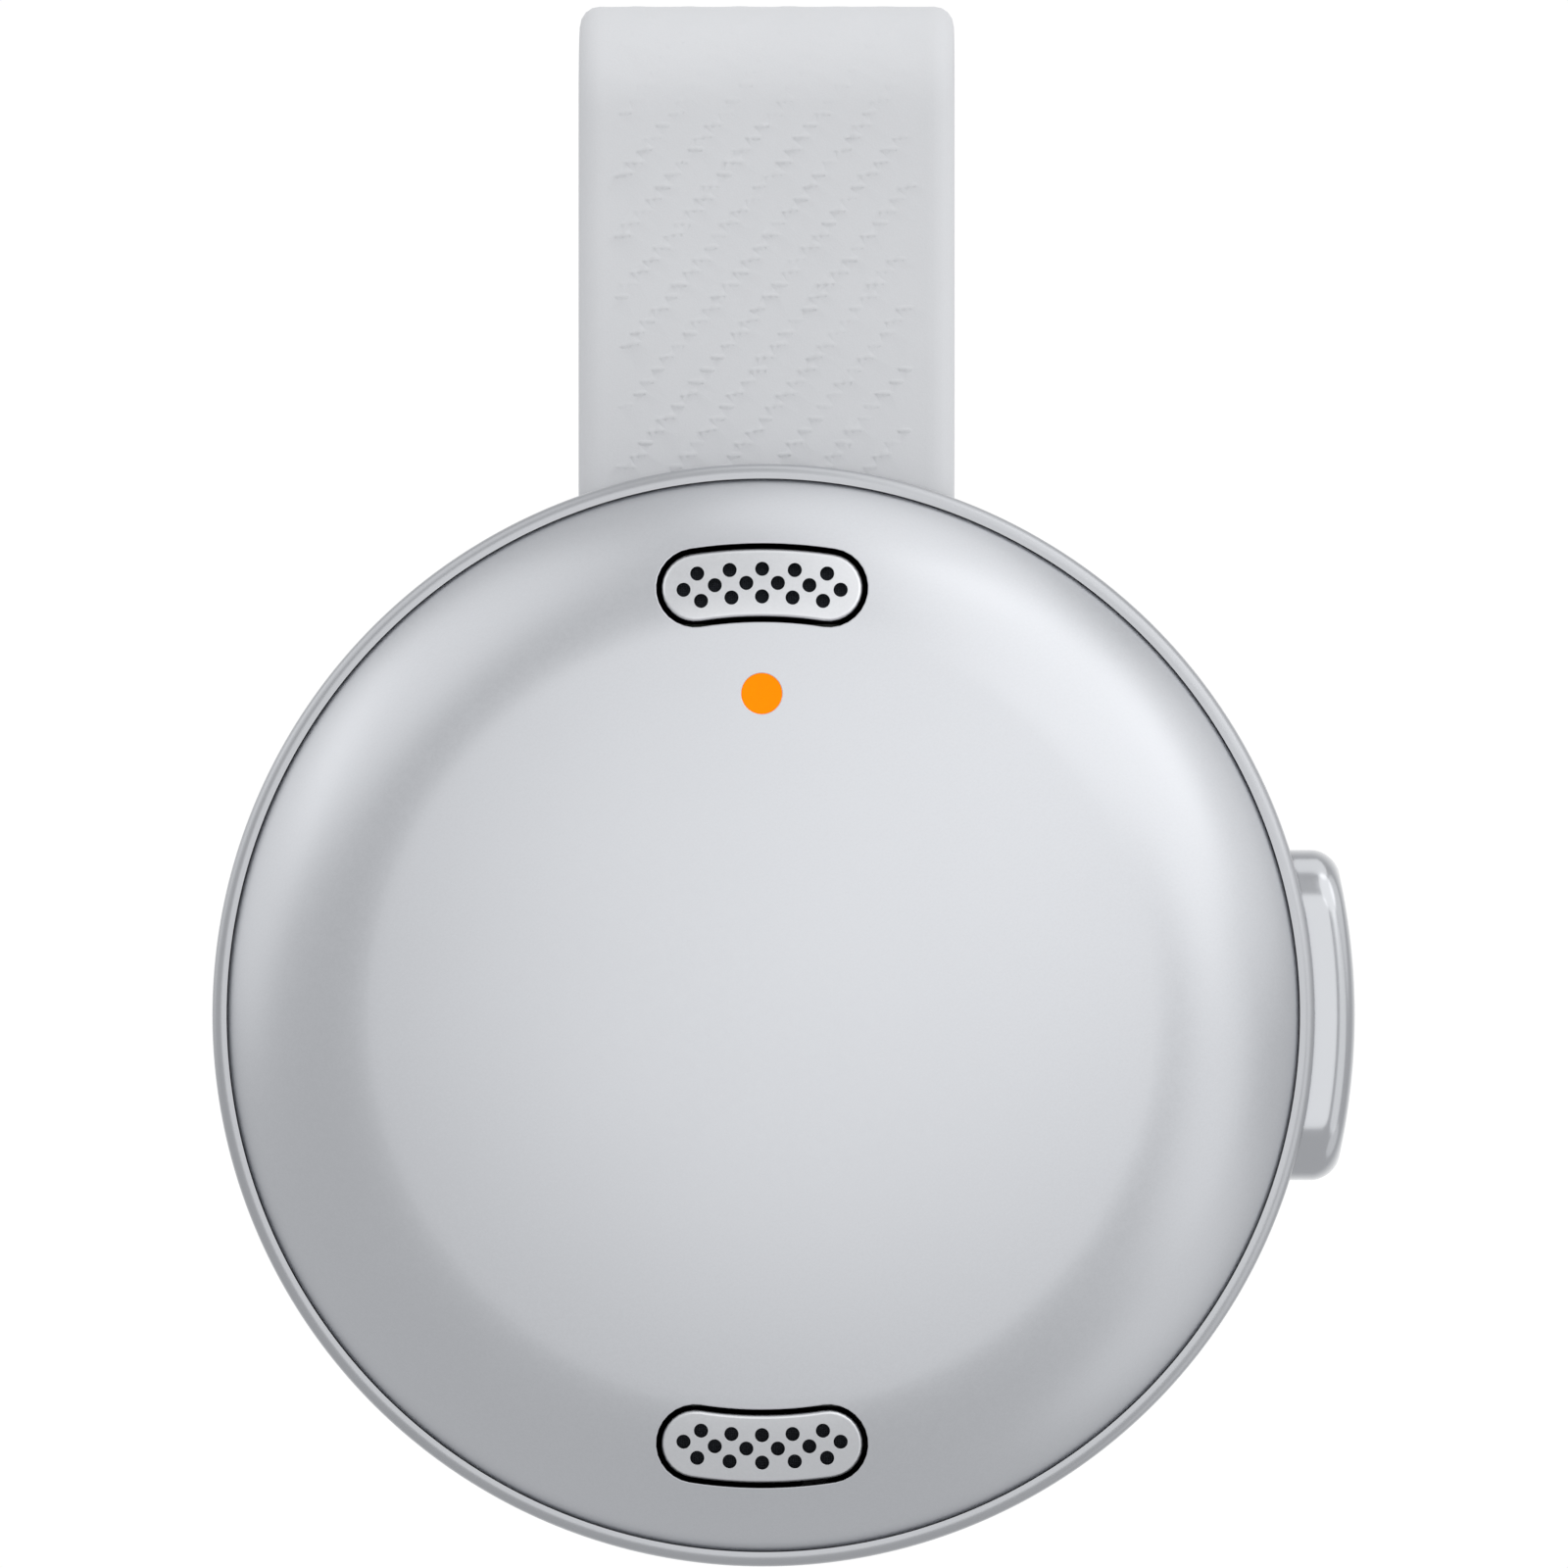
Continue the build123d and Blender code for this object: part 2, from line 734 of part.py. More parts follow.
save(volume_rocker, "volume_rocker")

with BuildPart() as rocker_pin:
    pin_length = 4.0
    with BuildSketch(facing(key_y + pin_length / 2)):
        with Locations((pivot_x, 0)):
            Circle(pivot_radius)
    extrude(amount=pin_length)
save(rocker_pin, "rocker_pin")

with BuildPart() as rocker_bracket:
    ear_tip_x = 20.1
    ear_height = 2.6
    ear_thickness = 0.6
    ear_offset = lug_width / 2 + 0.2 + ear_thickness / 2
    with BuildSketch(Plane.YZ.offset(bracket_x)):
        with Locations((key_y, 0)):
            Rectangle(bracket_width, 17.8)
            Rectangle(2 * ear_offset + ear_thickness, ear_height)
        with Locations(*bracket_screw_points):
            Circle(bracket_screw_radius + pin_gap, mode=Mode.SUBTRACT)
    extrude(amount=bracket_plate)
    for ear_y in (key_y - ear_offset, key_y + ear_offset):
        with BuildSketch(facing(ear_y + ear_thickness / 2)):
            with Locations((bracket_x, 0)):
                Rectangle(ear_tip_x - bracket_x, ear_height, align=(Align.MIN, Align.CENTER))
            with Locations((pivot_x, 0)):
                Circle(pivot_radius + touch_gap, mode=Mode.SUBTRACT)
        extrude(amount=ear_thickness)
save(rocker_bracket, "rocker_bracket")

with BuildPart() as bracket_screws:
    head_depth = 0.5
    shank_length = 1.7
    with BuildSketch(Plane.YZ.offset(bracket_x - touch_gap - head_depth)):
        with Locations(*bracket_screw_points):
            Circle(0.9)
    extrude(amount=head_depth)
    with BuildSketch(Plane.YZ.offset(bracket_x - touch_gap)):
        with Locations(*bracket_screw_points):
            Circle(bracket_screw_radius)
    extrude(amount=shank_length)
save(bracket_screws, "bracket_screws")

with BuildPart() as side_key_flex:
    strip_x = bracket_x + bracket_plate + touch_gap
    strip_thickness = switch_x - strip_x - touch_gap
    tail_z = 4.2
    tail_width = 2.5
    tail_thickness = 0.15
    tail_front_y = board_rear_y + slip_gap
    tail_end_x = 14.9
    with BuildSketch(Plane.YZ.offset(strip_x)):
        with Locations((key_y, 0)):
            Rectangle(2.6, 14.0)
        with Locations((tail_front_y, tail_z)):
            Rectangle(1.4, tail_width, align=(Align.MIN, Align.CENTER))
    extrude(amount=strip_thickness)
    with BuildSketch(facing(tail_front_y + tail_thickness)):
        with Locations((tail_end_x, tail_z)):
            Rectangle(
                strip_x + strip_thickness - tail_end_x,
                tail_width,
                align=(Align.MIN, Align.CENTER),
            )
    extrude(amount=tail_thickness)
save(side_key_flex, "side_key_flex")

with BuildPart() as side_switches:
    with BuildSketch(Plane.YZ.offset(switch_x)):
        with Locations(*switch_points):
            RectangleRounded(2.4, 3.0, 0.3)
    extrude(amount=switch_depth)
save(side_switches, "side_switches")

with BuildPart() as side_key_domes:
    with BuildSketch(Plane.YZ.offset(switch_x + switch_depth + touch_gap)):
        with Locations(*switch_points):
            Circle(1.1)
    extrude(amount=switch_dome_height)
    fillet(side_key_domes.faces().filter_by(Axis.X).group_by(Axis.X)[-1].edges(), 0.3)
save(side_key_domes, "side_key_domes")

# ---------------------------------------------------------------- charging socket


def socket_outline(inset):
    """The rounded outline of the socket's shell, drawn in by inset."""
    with BuildSketch() as outline:
        with Locations((socket_y, 0)):
            SlotOverall(socket_width - 2 * inset, socket_height - 2 * inset, rotation=90)
    return outline.sketch


with BuildPart() as charging_board:
    with BuildSketch(facing(frame_rear_y - touch_gap)):
        with Locations((-15.6, 0)):
            Rectangle(9.2, 12.4)
        Circle(frame_radius - 0.1, mode=Mode.INTERSECT)
    extrude(amount=0.6)
save(charging_board, "charging_board")

with BuildPart() as board_connector:
    with BuildSketch(facing(frame_rear_y - 0.62)):
        with Locations((-12.4, 0)):
            RectangleRounded(1.8, 6.0, 0.2)
    extrude(amount=0.47)
save(board_connector, "board_connector")

with BuildPart() as charging_socket:
    with BuildSketch(Plane.YZ.offset(socket_mouth_x)):
        add(socket_outline(0))
    extrude(amount=socket_depth)
    with BuildSketch(Plane.YZ.offset(socket_mouth_x)):
        add(socket_outline(socket_wall))
    extrude(amount=socket_depth - socket_wall, mode=Mode.SUBTRACT)
save(charging_socket, "charging_socket")

with BuildPart() as socket_tongue:
    # Tongue, and the block at the socket's end that carries it
    tongue_x = socket_mouth_x + 0.7
    block_length = 1.1
    block_end_x = socket_rear_x - socket_wall - slip_gap
    with BuildSketch(Plane.YZ.offset(tongue_x)):
        with Locations((socket_y, 0)):
            RectangleRounded(tongue_thickness, tongue_width, 0.2)
    extrude(amount=block_end_x - tongue_x)
    with BuildSketch(Plane.YZ.offset(block_end_x - block_length)):
        add(socket_outline(socket_wall + slip_gap))
    extrude(amount=block_length)
save(socket_tongue, "socket_tongue")

# ---------------------------------------------------------------- rear cover

with BuildPart() as rear_cover:
    with BuildSketch() as rear_profile:
        with BuildLine():
            Polyline(
                (0, 0),
                (disc_radius, 0),
                (disc_radius, seam_y),
                (frame_radius, seam_y),
                (frame_radius, spigot_y),
                (ledge_inner_radius, spigot_y),
                (ledge_inner_radius, -rear_wall),
                (0, -rear_wall),
                close=True,
            )
        make_face()
        inner_corner = (ledge_inner_radius, -rear_wall)
        fillet(rear_profile.vertices().sort_by_distance((disc_radius, 0))[0], rear_round)
        fillet(rear_profile.vertices().sort_by_distance(inner_corner)[0], 0.8)
        chamfer(rear_profile.vertices().sort_by_distance((disc_radius, seam_y))[0], 0.08)
    revolve(axis=Axis.Y)
    # Thicker floor under the strap's foot
    with BuildSketch(facing(-0.5)):
        with Locations((0, 14.0)):
            Rectangle(17.4, 13.0)
        Circle(frame_radius, mode=Mode.INTERSECT)
    extrude(amount=2.35)
    # Bosses for the clamp screws and the cover screws
    boss_root_y = -1.0
    clamp_boss_length = 3.6
    with BuildSketch(facing(boss_root_y)):
        with Locations(*clamp_points):
            Circle(post_radius)
    extrude(amount=clamp_boss_length)
    with BuildSketch(facing(boss_root_y)):
        with Locations(*post_points):
            Circle(post_radius)
    extrude(amount=boss_root_y - post_rear_y - 0.05)
    # The spigot stays clear of the rocker
    with BuildSketch(facing(seam_y)):
        with Locations((frame_radius - 0.5, 0)):
            Rectangle(6.0, key_bay_height + 0.2)
    extrude(amount=through, mode=Mode.SUBTRACT)
    # Channel for the strap's foot
    channel_gap = 0.1
    with BuildSketch(facing(0)) as channel:
        with Locations((0, strap_foot_z - channel_gap)):
            Rectangle(
                strap_width + 2 * channel_gap, through, align=(Align.CENTER, Align.MIN)
            )
        fillet(channel.vertices().group_by(Axis.Z)[0], strap_foot_round + channel_gap)
    extrude(amount=strap_thickness + slip_gap, mode=Mode.SUBTRACT)
    # Screw holes
    head_seat_y = -0.75
    head_seat_radius = 1.45
    with BuildSketch(facing(0)):
        with Locations(*clamp_points):
            Circle(clamp_hole_radius)
        with Locations(*post_points):
            Circle(post_screw_radius + 0.12)
    extrude(amount=through, mode=Mode.SUBTRACT)
    with BuildSketch(facing(0)):
        with Locations(*post_points):
            Circle(head_seat_radius)
    extrude(amount=-head_seat_y, mode=Mode.SUBTRACT)
save(rear_cover, "rear_cover")

with BuildPart() as rear_cover_screws:
    head_height = 0.6
    shank_end_y = -6.94
    head_front_y = head_seat_y + touch_gap
    with BuildSketch(facing(head_front_y + head_height)):
        with Locations(*post_points):
            Circle(head_seat_radius - 0.1)
    extrude(amount=head_height)
    chamfer(rear_cover_screws.faces().filter_by(Axis.Y).group_by(Axis.Y)[-1].edges(), 0.12)
    with BuildSketch(facing(head_front_y)):
        with Locations(*post_points):
            Circle(post_screw_radius)
    extrude(amount=head_front_y - shank_end_y)
    with BuildSketch(facing(0)):
        with Locations(*post_points):
            RegularPolygon(0.75, 6)
    extrude(amount=0.5, mode=Mode.SUBTRACT)
save(rear_cover_screws, "rear_cover_screws")

# ---------------------------------------------------------------- strap clip

# Middle line of the rear leg: straight down, in to the jaw, and out again at the tip
leg_y = loop_gap - strap_middle_y
flare_y = jaw_y + 1.5
with BuildLine(Plane.YZ) as leg_line:
    FilletPolyline(
        (leg_y, loop_z), (leg_y, leg_bend_z), (jaw_y, jaw_z), (flare_y, tip_z - 1),
        radius=(18, 14),
    )
leg_path = leg_line.line
leg_start = Plane(leg_path @ 0, x_dir=(1, 0, 0), z_dir=leg_path % 0)
front_start = Plane((0, strap_middle_y, loop_z), x_dir=(1, 0, 0), z_dir=(0, 0, -1))


def core_section(play):
    """Cross-section of the spring core, grown by play on every side."""
    with BuildSketch() as section:
        Rectangle(core_width + 2 * play, core_thickness + 2 * play)
    return section.sketch


def rear_core(play):
    """The spring core down the rear leg, grown by play on every side."""
    with BuildPart() as core:
        with BuildSketch(leg_start):
            add(core_section(play))
        sweep(path=leg_path)
        split(bisect_by=Plane.XY.offset(core_tip_z - play), keep=Keep.TOP)
    return core.part


with BuildPart() as strap_front:
    with BuildSketch(front_start):
        RectangleRounded(strap_width, strap_thickness, strap_edge)
    extrude(amount=loop_z - strap_foot_z)
    with BuildSketch(facing(1)) as foot_outline:
        with Locations((0, strap_foot_z)):
            Rectangle(strap_width, 2 * through, align=(Align.CENTER, Align.MIN))
        fillet(foot_outline.vertices().group_by(Axis.Z)[0], strap_foot_round)
    extrude(amount=through, mode=Mode.INTERSECT)
    # Slot for the spring core, pocket for the clamp plate, screw holes
    with BuildSketch(front_start):
        add(core_section(slip_gap))
    extrude(amount=loop_z - core_foot_z, mode=Mode.SUBTRACT)
    with BuildSketch(facing(0)):
        with Locations((0, clamp_screw_z)):
            RectangleRounded(clamp_width + 0.1, clamp_height + 0.1, 1.0)
    extrude(amount=clamp_thickness + slip_gap, mode=Mode.SUBTRACT)
    with BuildSketch(facing(0)):
        with Locations(*clamp_points):
            Circle(clamp_hole_radius)
    extrude(amount=through, mode=Mode.SUBTRACT)
save(strap_front, "strap_front")

with BuildPart() as strap_bend:
    with BuildSketch(front_start):
        RectangleRounded(strap_width, strap_thickness, strap_edge)
        add(core_section(slip_gap), mode=Mode.SUBTRACT)
    revolve(axis=loop_axis, revolution_arc=180)
save(strap_bend, "strap_bend")

with BuildPart() as strap_rear:
    with BuildSketch(leg_start):
        RectangleRounded(strap_width, strap_thickness, strap_edge)
    sweep(path=leg_path)
    with BuildSketch(facing(through / 2)) as tip_outline:
        with Locations((0, tip_z)):
            Rectangle(strap_width, 4 * through, align=(Align.CENTER, Align.MIN))
        fillet(tip_outline.vertices().group_by(Axis.Z)[0], tip_round)
    extrude(amount=through, mode=Mode.INTERSECT)
    # Grip ribs on the jaw
    jaw = Vector(0, jaw_y, jaw_z)
    lean = (Vector(0, leg_y, leg_bend_z) - jaw).normalized()
    to_surface = Vector(0, -lean.Z, lean.Y) * (strap_thickness / 2)
    ribs = [jaw + lean * (first_rib + rib_step * i) + to_surface for i in range(rib_count)]
    with Locations(*ribs):
        Cylinder(rib_radius, core_width, rotation=(0, 90, 0))
    add(rear_core(slip_gap), mode=Mode.SUBTRACT)
save(strap_rear, "strap_rear")

with BuildPart() as clip_spring:
    add(rear_core(0))
    with BuildSketch(front_start):
        add(core_section(0))
    revolve(axis=loop_axis, revolution_arc=180)
    with BuildSketch(front_start):
        add(core_section(0))
    extrude(amount=loop_z - core_foot_z - slip_gap)
    with BuildSketch(facing(0)):
        with Locations(*clamp_points):
            Circle(clamp_hole_radius + pin_gap)
    extrude(amount=through, mode=Mode.SUBTRACT)
save(clip_spring, "clip_spring")

with BuildPart() as clip_clamp_plate:
    countersink = 0.4
    with BuildSketch(facing(-touch_gap)):
        with Locations((0, clamp_screw_z)):
            RectangleRounded(clamp_width, clamp_height, 0.95)
    extrude(amount=clamp_thickness)
    with BuildSketch(facing(0)):
        with Locations(*clamp_points):
            Circle(clamp_hole_radius)
    extrude(amount=through, mode=Mode.SUBTRACT)
    outer_face = clip_clamp_plate.faces().sort_by(Axis.Y)[-1]
    chamfer(outer_face.edges().filter_by(GeomType.CIRCLE).group_by(SortBy.RADIUS)[0], countersink)
save(clip_clamp_plate, "clip_clamp_plate")

with BuildPart() as clip_screws:
    shank_radius = clamp_hole_radius - 2 * slip_gap
    head_top_y = -2 * touch_gap
    shank_end_y = -4.3
    for x, z in clamp_points:
        with BuildSketch(Plane.XY.offset(z)):
            with BuildLine():
                Polyline(
                    (x, head_top_y),
                    (x + shank_radius + countersink, head_top_y),
                    (x + shank_radius, head_top_y - countersink),
                    (x + shank_radius, shank_end_y),
                    (x, shank_end_y),
                    close=True,
                )
            make_face()
        revolve(axis=Axis((x, 0, z), (0, 1, 0)))
    with BuildSketch(facing(0)):
        with Locations(*clamp_points):
            RegularPolygon(0.55, 6)
    extrude(amount=0.45, mode=Mode.SUBTRACT)
save(clip_screws, "clip_screws")
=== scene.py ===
import json
import math
import random

import bpy
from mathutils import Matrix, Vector
from mathutils.geometry import delaunay_2d_cdt


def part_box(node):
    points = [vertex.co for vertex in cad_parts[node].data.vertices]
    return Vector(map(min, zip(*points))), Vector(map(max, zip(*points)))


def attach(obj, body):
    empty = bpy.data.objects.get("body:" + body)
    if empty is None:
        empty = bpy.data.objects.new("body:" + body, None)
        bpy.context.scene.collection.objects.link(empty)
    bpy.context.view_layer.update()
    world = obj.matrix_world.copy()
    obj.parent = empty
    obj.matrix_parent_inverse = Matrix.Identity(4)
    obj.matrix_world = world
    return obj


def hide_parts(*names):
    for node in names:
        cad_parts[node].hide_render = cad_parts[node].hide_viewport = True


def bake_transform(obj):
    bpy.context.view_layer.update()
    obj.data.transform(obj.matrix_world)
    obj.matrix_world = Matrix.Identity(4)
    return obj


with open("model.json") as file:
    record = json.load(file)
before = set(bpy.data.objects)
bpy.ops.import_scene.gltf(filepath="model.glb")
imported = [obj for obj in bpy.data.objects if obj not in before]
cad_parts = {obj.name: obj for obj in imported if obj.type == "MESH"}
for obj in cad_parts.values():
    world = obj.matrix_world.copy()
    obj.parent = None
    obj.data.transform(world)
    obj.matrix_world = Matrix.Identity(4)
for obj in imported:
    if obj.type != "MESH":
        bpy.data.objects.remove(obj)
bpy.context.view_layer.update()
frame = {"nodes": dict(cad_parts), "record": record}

# Lengths are in millimetres until a mesh is made. X right, Y to the rear, Z up.
MM = 0.001


def low(node):
    """A CAD node's lowest corner, in millimetres."""
    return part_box(node)[0] / MM


def high(node):
    """A CAD node's highest corner, in millimetres."""
    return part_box(node)[1] / MM


# ------------------------------------------------------------------ sizes, from the frame

# Dome of the front cover: a shallow crown that runs into a tighter shoulder
cover_radius = high("front_cover").x
apex_y = low("front_cover").y
cover_edge_y = -7.4
cover_wall = 1.2
cover_edge_round = 0.12
crown_tilt = math.radians(9)
crown_end_radius = 15.5
rim_tilt = math.radians(60)
crown_radius = crown_end_radius / math.sin(crown_tilt)
shoulder_radius = (cover_radius - crown_end_radius) / (math.sin(rim_tilt) - math.sin(crown_tilt))
shoulder_centre_r = cover_radius - shoulder_radius * math.sin(rim_tilt)
crown_centre_y = apex_y + crown_radius
shoulder_centre_y = crown_centre_y - (crown_radius - shoulder_radius) * math.cos(crown_tilt)

# Grilles and light
grille_orbit = 17.25
grille_half_angle = math.radians(8.84)
slot_half_width = 1.57
island_half_width = 1.35
island_inset = 0.03
island_thickness = 0.5
hole_radius = 0.28
hole_row_step = 0.55
hole_angle_step = math.radians(4.18)
light_z = (low("status_lens").z + high("status_lens").z) / 2
light_radius = 0.81

# Strap: its middle line goes up the front, over the loop and down the sprung rear leg
strap_half_width = high("strap_front").x
strap_half_thickness = (high("strap_front").y - low("strap_front").y) / 2
strap_edge = 0.8
strap_foot_z = low("strap_front").z
strap_foot_round = 2.5
strap_tip_z = low("strap_rear").z
strap_tip_round = 3.5
loop_z = high("strap_front").z
loop_radius = (high("strap_rear").y - low("strap_front").y) / 2 - strap_half_thickness
leg_y = high("strap_rear").y - strap_half_thickness
leg_bend = Vector((leg_y, 25.0))
jaw = Vector((1.6, -4.0))
flare = Vector((3.1, -16.0))
leg_bend_radius = 18.0
jaw_bend_radius = 14.0
rib_radius = 0.32
rib_half_length = 5.5
rib_distances = [3.2 + 1.6 * i for i in range(5)]
core_half_width = high("clip_spring").x
core_half_thickness = 0.25
core_foot_z = low("strap_front").z + 1.2
core_tip_z = low("clip_spring").z

# Twill moulded into the strap's outer face: short dashes in rows, each row shifted from the last
dash_row_step = 0.489
dash_repeat = 1.97
dash_row_shift = 0.407
dash_half_length = 0.4
dash_half_width = 0.1
dash_height = 0.075
dash_crest_shift = -0.35
dash_margin = 1.35
dash_end_gap = 1.6
dash_moat = 0.05
dash_columns = 4


# ------------------------------------------------------------------ meshes


def make_piece(name, points, faces, normals, body, material, replaced):
    """A mesh piece from points in millimetres, with one normal for each corner of each face."""
    mesh = bpy.data.meshes.new(name)
    mesh.from_pydata([Vector(p) * MM for p in points], [], faces)
    mesh.materials.append(material)
    mesh.shade_smooth()
    if normals:
        mesh.normals_split_custom_set([tuple(n) for corner in normals for n in corner])
    piece = bpy.data.objects.new(name, mesh)
    bpy.context.scene.collection.objects.link(piece)
    if body:
        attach(piece, body)
    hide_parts(*replaced)
    return piece


class Slot:
    """The outline of a grille: an arc about the disc's axis, widened, with round ends."""

    def __init__(self, middle, half_width):
        self.middle = math.radians(middle)
        self.half_width = half_width
        self.ends = [
            Vector((math.cos(a), math.sin(a))) * grille_orbit
            for a in (self.middle - grille_half_angle, self.middle + grille_half_angle)
        ]

    def distance(self, p):
        """Distance from the outline, negative inside."""
        turn = math.remainder(math.atan2(p.y, p.x) - self.middle, math.tau)
        if abs(turn) <= grille_half_angle:
            return abs(p.length - grille_orbit) - self.half_width
        return (p - self.ends[turn > 0]).length - self.half_width

    def loop(self, grow, arc_count=28, cap_count=14):
        """Points around the outline, moved out by grow."""
        reach = self.half_width + grow
        start, end = self.middle - grille_half_angle, self.middle + grille_half_angle
        points = []
        for i in range(arc_count):
            a = start + (end - start) * i / arc_count
            points.append(Vector((math.cos(a), math.sin(a))) * (grille_orbit + reach))
        for i in range(cap_count):
            a = end + math.pi * i / cap_count
            points.append(self.ends[1] + Vector((math.cos(a), math.sin(a))) * reach)
        for i in range(arc_count):
            a = end + (start - end) * i / arc_count
            points.append(Vector((math.cos(a), math.sin(a))) * (grille_orbit - reach))
        for i in range(cap_count):
            a = start + math.pi + math.pi * i / cap_count
            points.append(self.ends[0] + Vector((math.cos(a), math.sin(a))) * reach)
        return points


class Round:
    """A round outline."""

    def __init__(self, centre, radius, count):
        self.centre = Vector(centre)
        self.radius = radius
        self.count = count

    def distance(self, p):
        return (p - self.centre).length - self.radius

    def loop(self, grow):
        turns = [math.tau * i / self.count for i in range(self.count)]
        reach = self.radius + grow
        return [self.centre + Vector((math.cos(a), math.sin(a))) * reach for a in turns]


def slope_of(shape, p):
    """The direction in which the distance from a shape's outline grows."""
    step = 1e-4
    along_x = shape.distance(p + Vector((step, 0))) - shape.distance(p - Vector((step, 0)))
    along_y = shape.distance(p + Vector((0, step))) - shape.distance(p - Vector((0, step)))
    return Vector((along_x, along_y)).normalized()


def triangulate(loops, fill, keep):
    """Triangles over a plane region: its points, its triangles, each loop's and each fill point's place."""
    points = [p for loop in loops for p in loop]
    edges = []
    first = 0
    for loop in loops:
        edges += [(first + i, first + (i + 1) % len(loop)) for i in range(len(loop))]
        first += len(loop)
    points += fill
    found = delaunay_2d_cdt([Vector(p) for p in points], edges, [], 0, 1e-7, True)
    place = {}
    for new, olds in enumerate(found[3]):
        for old in olds:
            place[old] = new
    flat = [Vector(p) for p in found[0]]
    triangles = []
    for face in found[2]:
        a, b, c = (flat[i] for i in face)
        area = (b - a).cross(c - a)
        if abs(area) > 1e-9 and keep((a + b + c) / 3):
            triangles.append(tuple(face) if area > 0 else tuple(reversed(face)))
    first = 0
    rings = []
    for loop in loops:
        rings.append([place[first + i] for i in range(len(loop))])
        first += len(loop)
    return flat, triangles, rings, [place[first + i] for i in range(len(fill))]


ROLL_STEPS = (0, 0.2, 0.42, 0.68, 1.0)


def pierced_plate(edge, edge_roll, holes, fill, front, back):
    """A plate with holes, seen from the front in X and Z, whose edges are rolled over.

    holes is a list of (outline, roll). front and back give a point's Y and the surface's normal.
    Returns points, faces, corner normals and the edge's own rings of points, in front and behind.
    """
    shapes = [(edge, -1, edge_roll)] + [(hole, 1, roll) for hole, roll in holes]
    loops = []
    for shape, side, roll in shapes:
        steps = [1 - math.cos(s * math.pi / 2) for s in ROLL_STEPS] if roll else [0]
        loops += [shape.loop(side * roll * s) for s in steps]

    def clear(p, margin):
        return all(side * shape.distance(p) > roll + margin for shape, side, roll in shapes)

    def keep(p):
        return all(side * shape.distance(p) > 0 for shape, side, roll in shapes)

    edge_margin = 0.06
    flat, triangles, rings, _ = triangulate(loops, [p for p in fill if clear(p, edge_margin)], keep)
    ahead, ahead_normals, behind, behind_normals = [], [], [], []
    for p in flat:
        y, normal = front(p)
        for shape, side, roll in shapes:
            reach = side * shape.distance(p)
            if roll and reach < roll:
                lean = min(1.0, max(0.0, 1 - reach / roll))
                rise = math.sqrt(1 - lean * lean)
                y += roll * (1 - rise)
                away = slope_of(shape, p) * -side
                normal = (Vector((away.x, 0, away.y)) * lean + normal * rise).normalized()
        ahead.append(Vector((p.x, y, p.y)))
        ahead_normals.append(normal)
        y, normal = back(p)
        behind.append(Vector((p.x, y, p.y)))
        behind_normals.append(normal)
    count = len(flat)
    faces = list(triangles) + [tuple(count + i for i in reversed(t)) for t in triangles]
    normals = [[ahead_normals[i] for i in t] for t in triangles]
    normals += [[behind_normals[i] for i in reversed(t)] for t in triangles]
    ring_at = 0
    edge_ring = rings[0]
    for number, (shape, side, roll) in enumerate(shapes):
        ring = rings[ring_at]
        ring_at += len(ROLL_STEPS) if roll else 1
        if number == 0 and not roll:
            continue
        for i, a in enumerate(ring):
            b = ring[(i + 1) % len(ring)]
            quad = (a, count + a, count + b, b) if side < 0 else (b, count + b, count + a, a)
            out = {}
            for corner in (a, b):
                away = slope_of(shape, flat[corner]) * -side
                out[corner] = Vector((away.x, 0, away.y))
            faces.append(quad)
            normals.append([out[corner % count] for corner in quad])
    return ahead + behind, faces, normals, edge_ring, [count + i for i in edge_ring]


def polar_fill(radius, ring_step, along_step):
    """Points on rings about the axis, evenly spread."""
    points = [Vector((0, 0))]
    rings = round(radius / ring_step)
    for ring in range(1, rings):
        r = radius * ring / rings
        count = max(8, round(math.tau * r / along_step))
        offset = (ring % 2) * 0.5
        turns = [math.tau * (i + offset) / count for i in range(count)]
        points += [Vector((math.cos(a), math.sin(a))) * r for a in turns]
    return points


def grid_fill(shape, step):
    """Points in rows over a slot or a round outline."""
    rim = shape.loop(0)
    left, right = min(p.x for p in rim), max(p.x for p in rim)
    bottom, top = min(p.y for p in rim), max(p.y for p in rim)
    points = []
    rows = round((top - bottom) / step)
    columns = round((right - left) / step)
    for row in range(rows):
        for column in range(columns):
            x = left + (column + 0.5 * (row % 2)) * step
            points.append(Vector((x, bottom + (row + 0.5) * step)))
    return points


# ------------------------------------------------------------------ dome


def dome(inset):
    """A function that gives the dome's Y and outward normal at a point, drawn in by inset."""

    def surface(p):
        r = p.length
        if r <= (crown_radius - inset) * math.sin(crown_tilt):
            centre_r, centre_y, radius = 0, crown_centre_y, crown_radius - inset
        else:
            centre_r, centre_y, radius = shoulder_centre_r, shoulder_centre_y, shoulder_radius - inset
        rise = math.sqrt(radius**2 - (r - centre_r) ** 2)
        lean = (r - centre_r) / radius
        outward = p.normalized() if r > 1e-9 else Vector((0, 0))
        return centre_y - rise, Vector((outward.x * lean, -rise / radius, outward.y * lean))

    return surface


def inner_side(surface):
    """The same surface seen from behind."""

    def flipped(p):
        y, normal = surface(p)
        return y, -normal

    return flipped


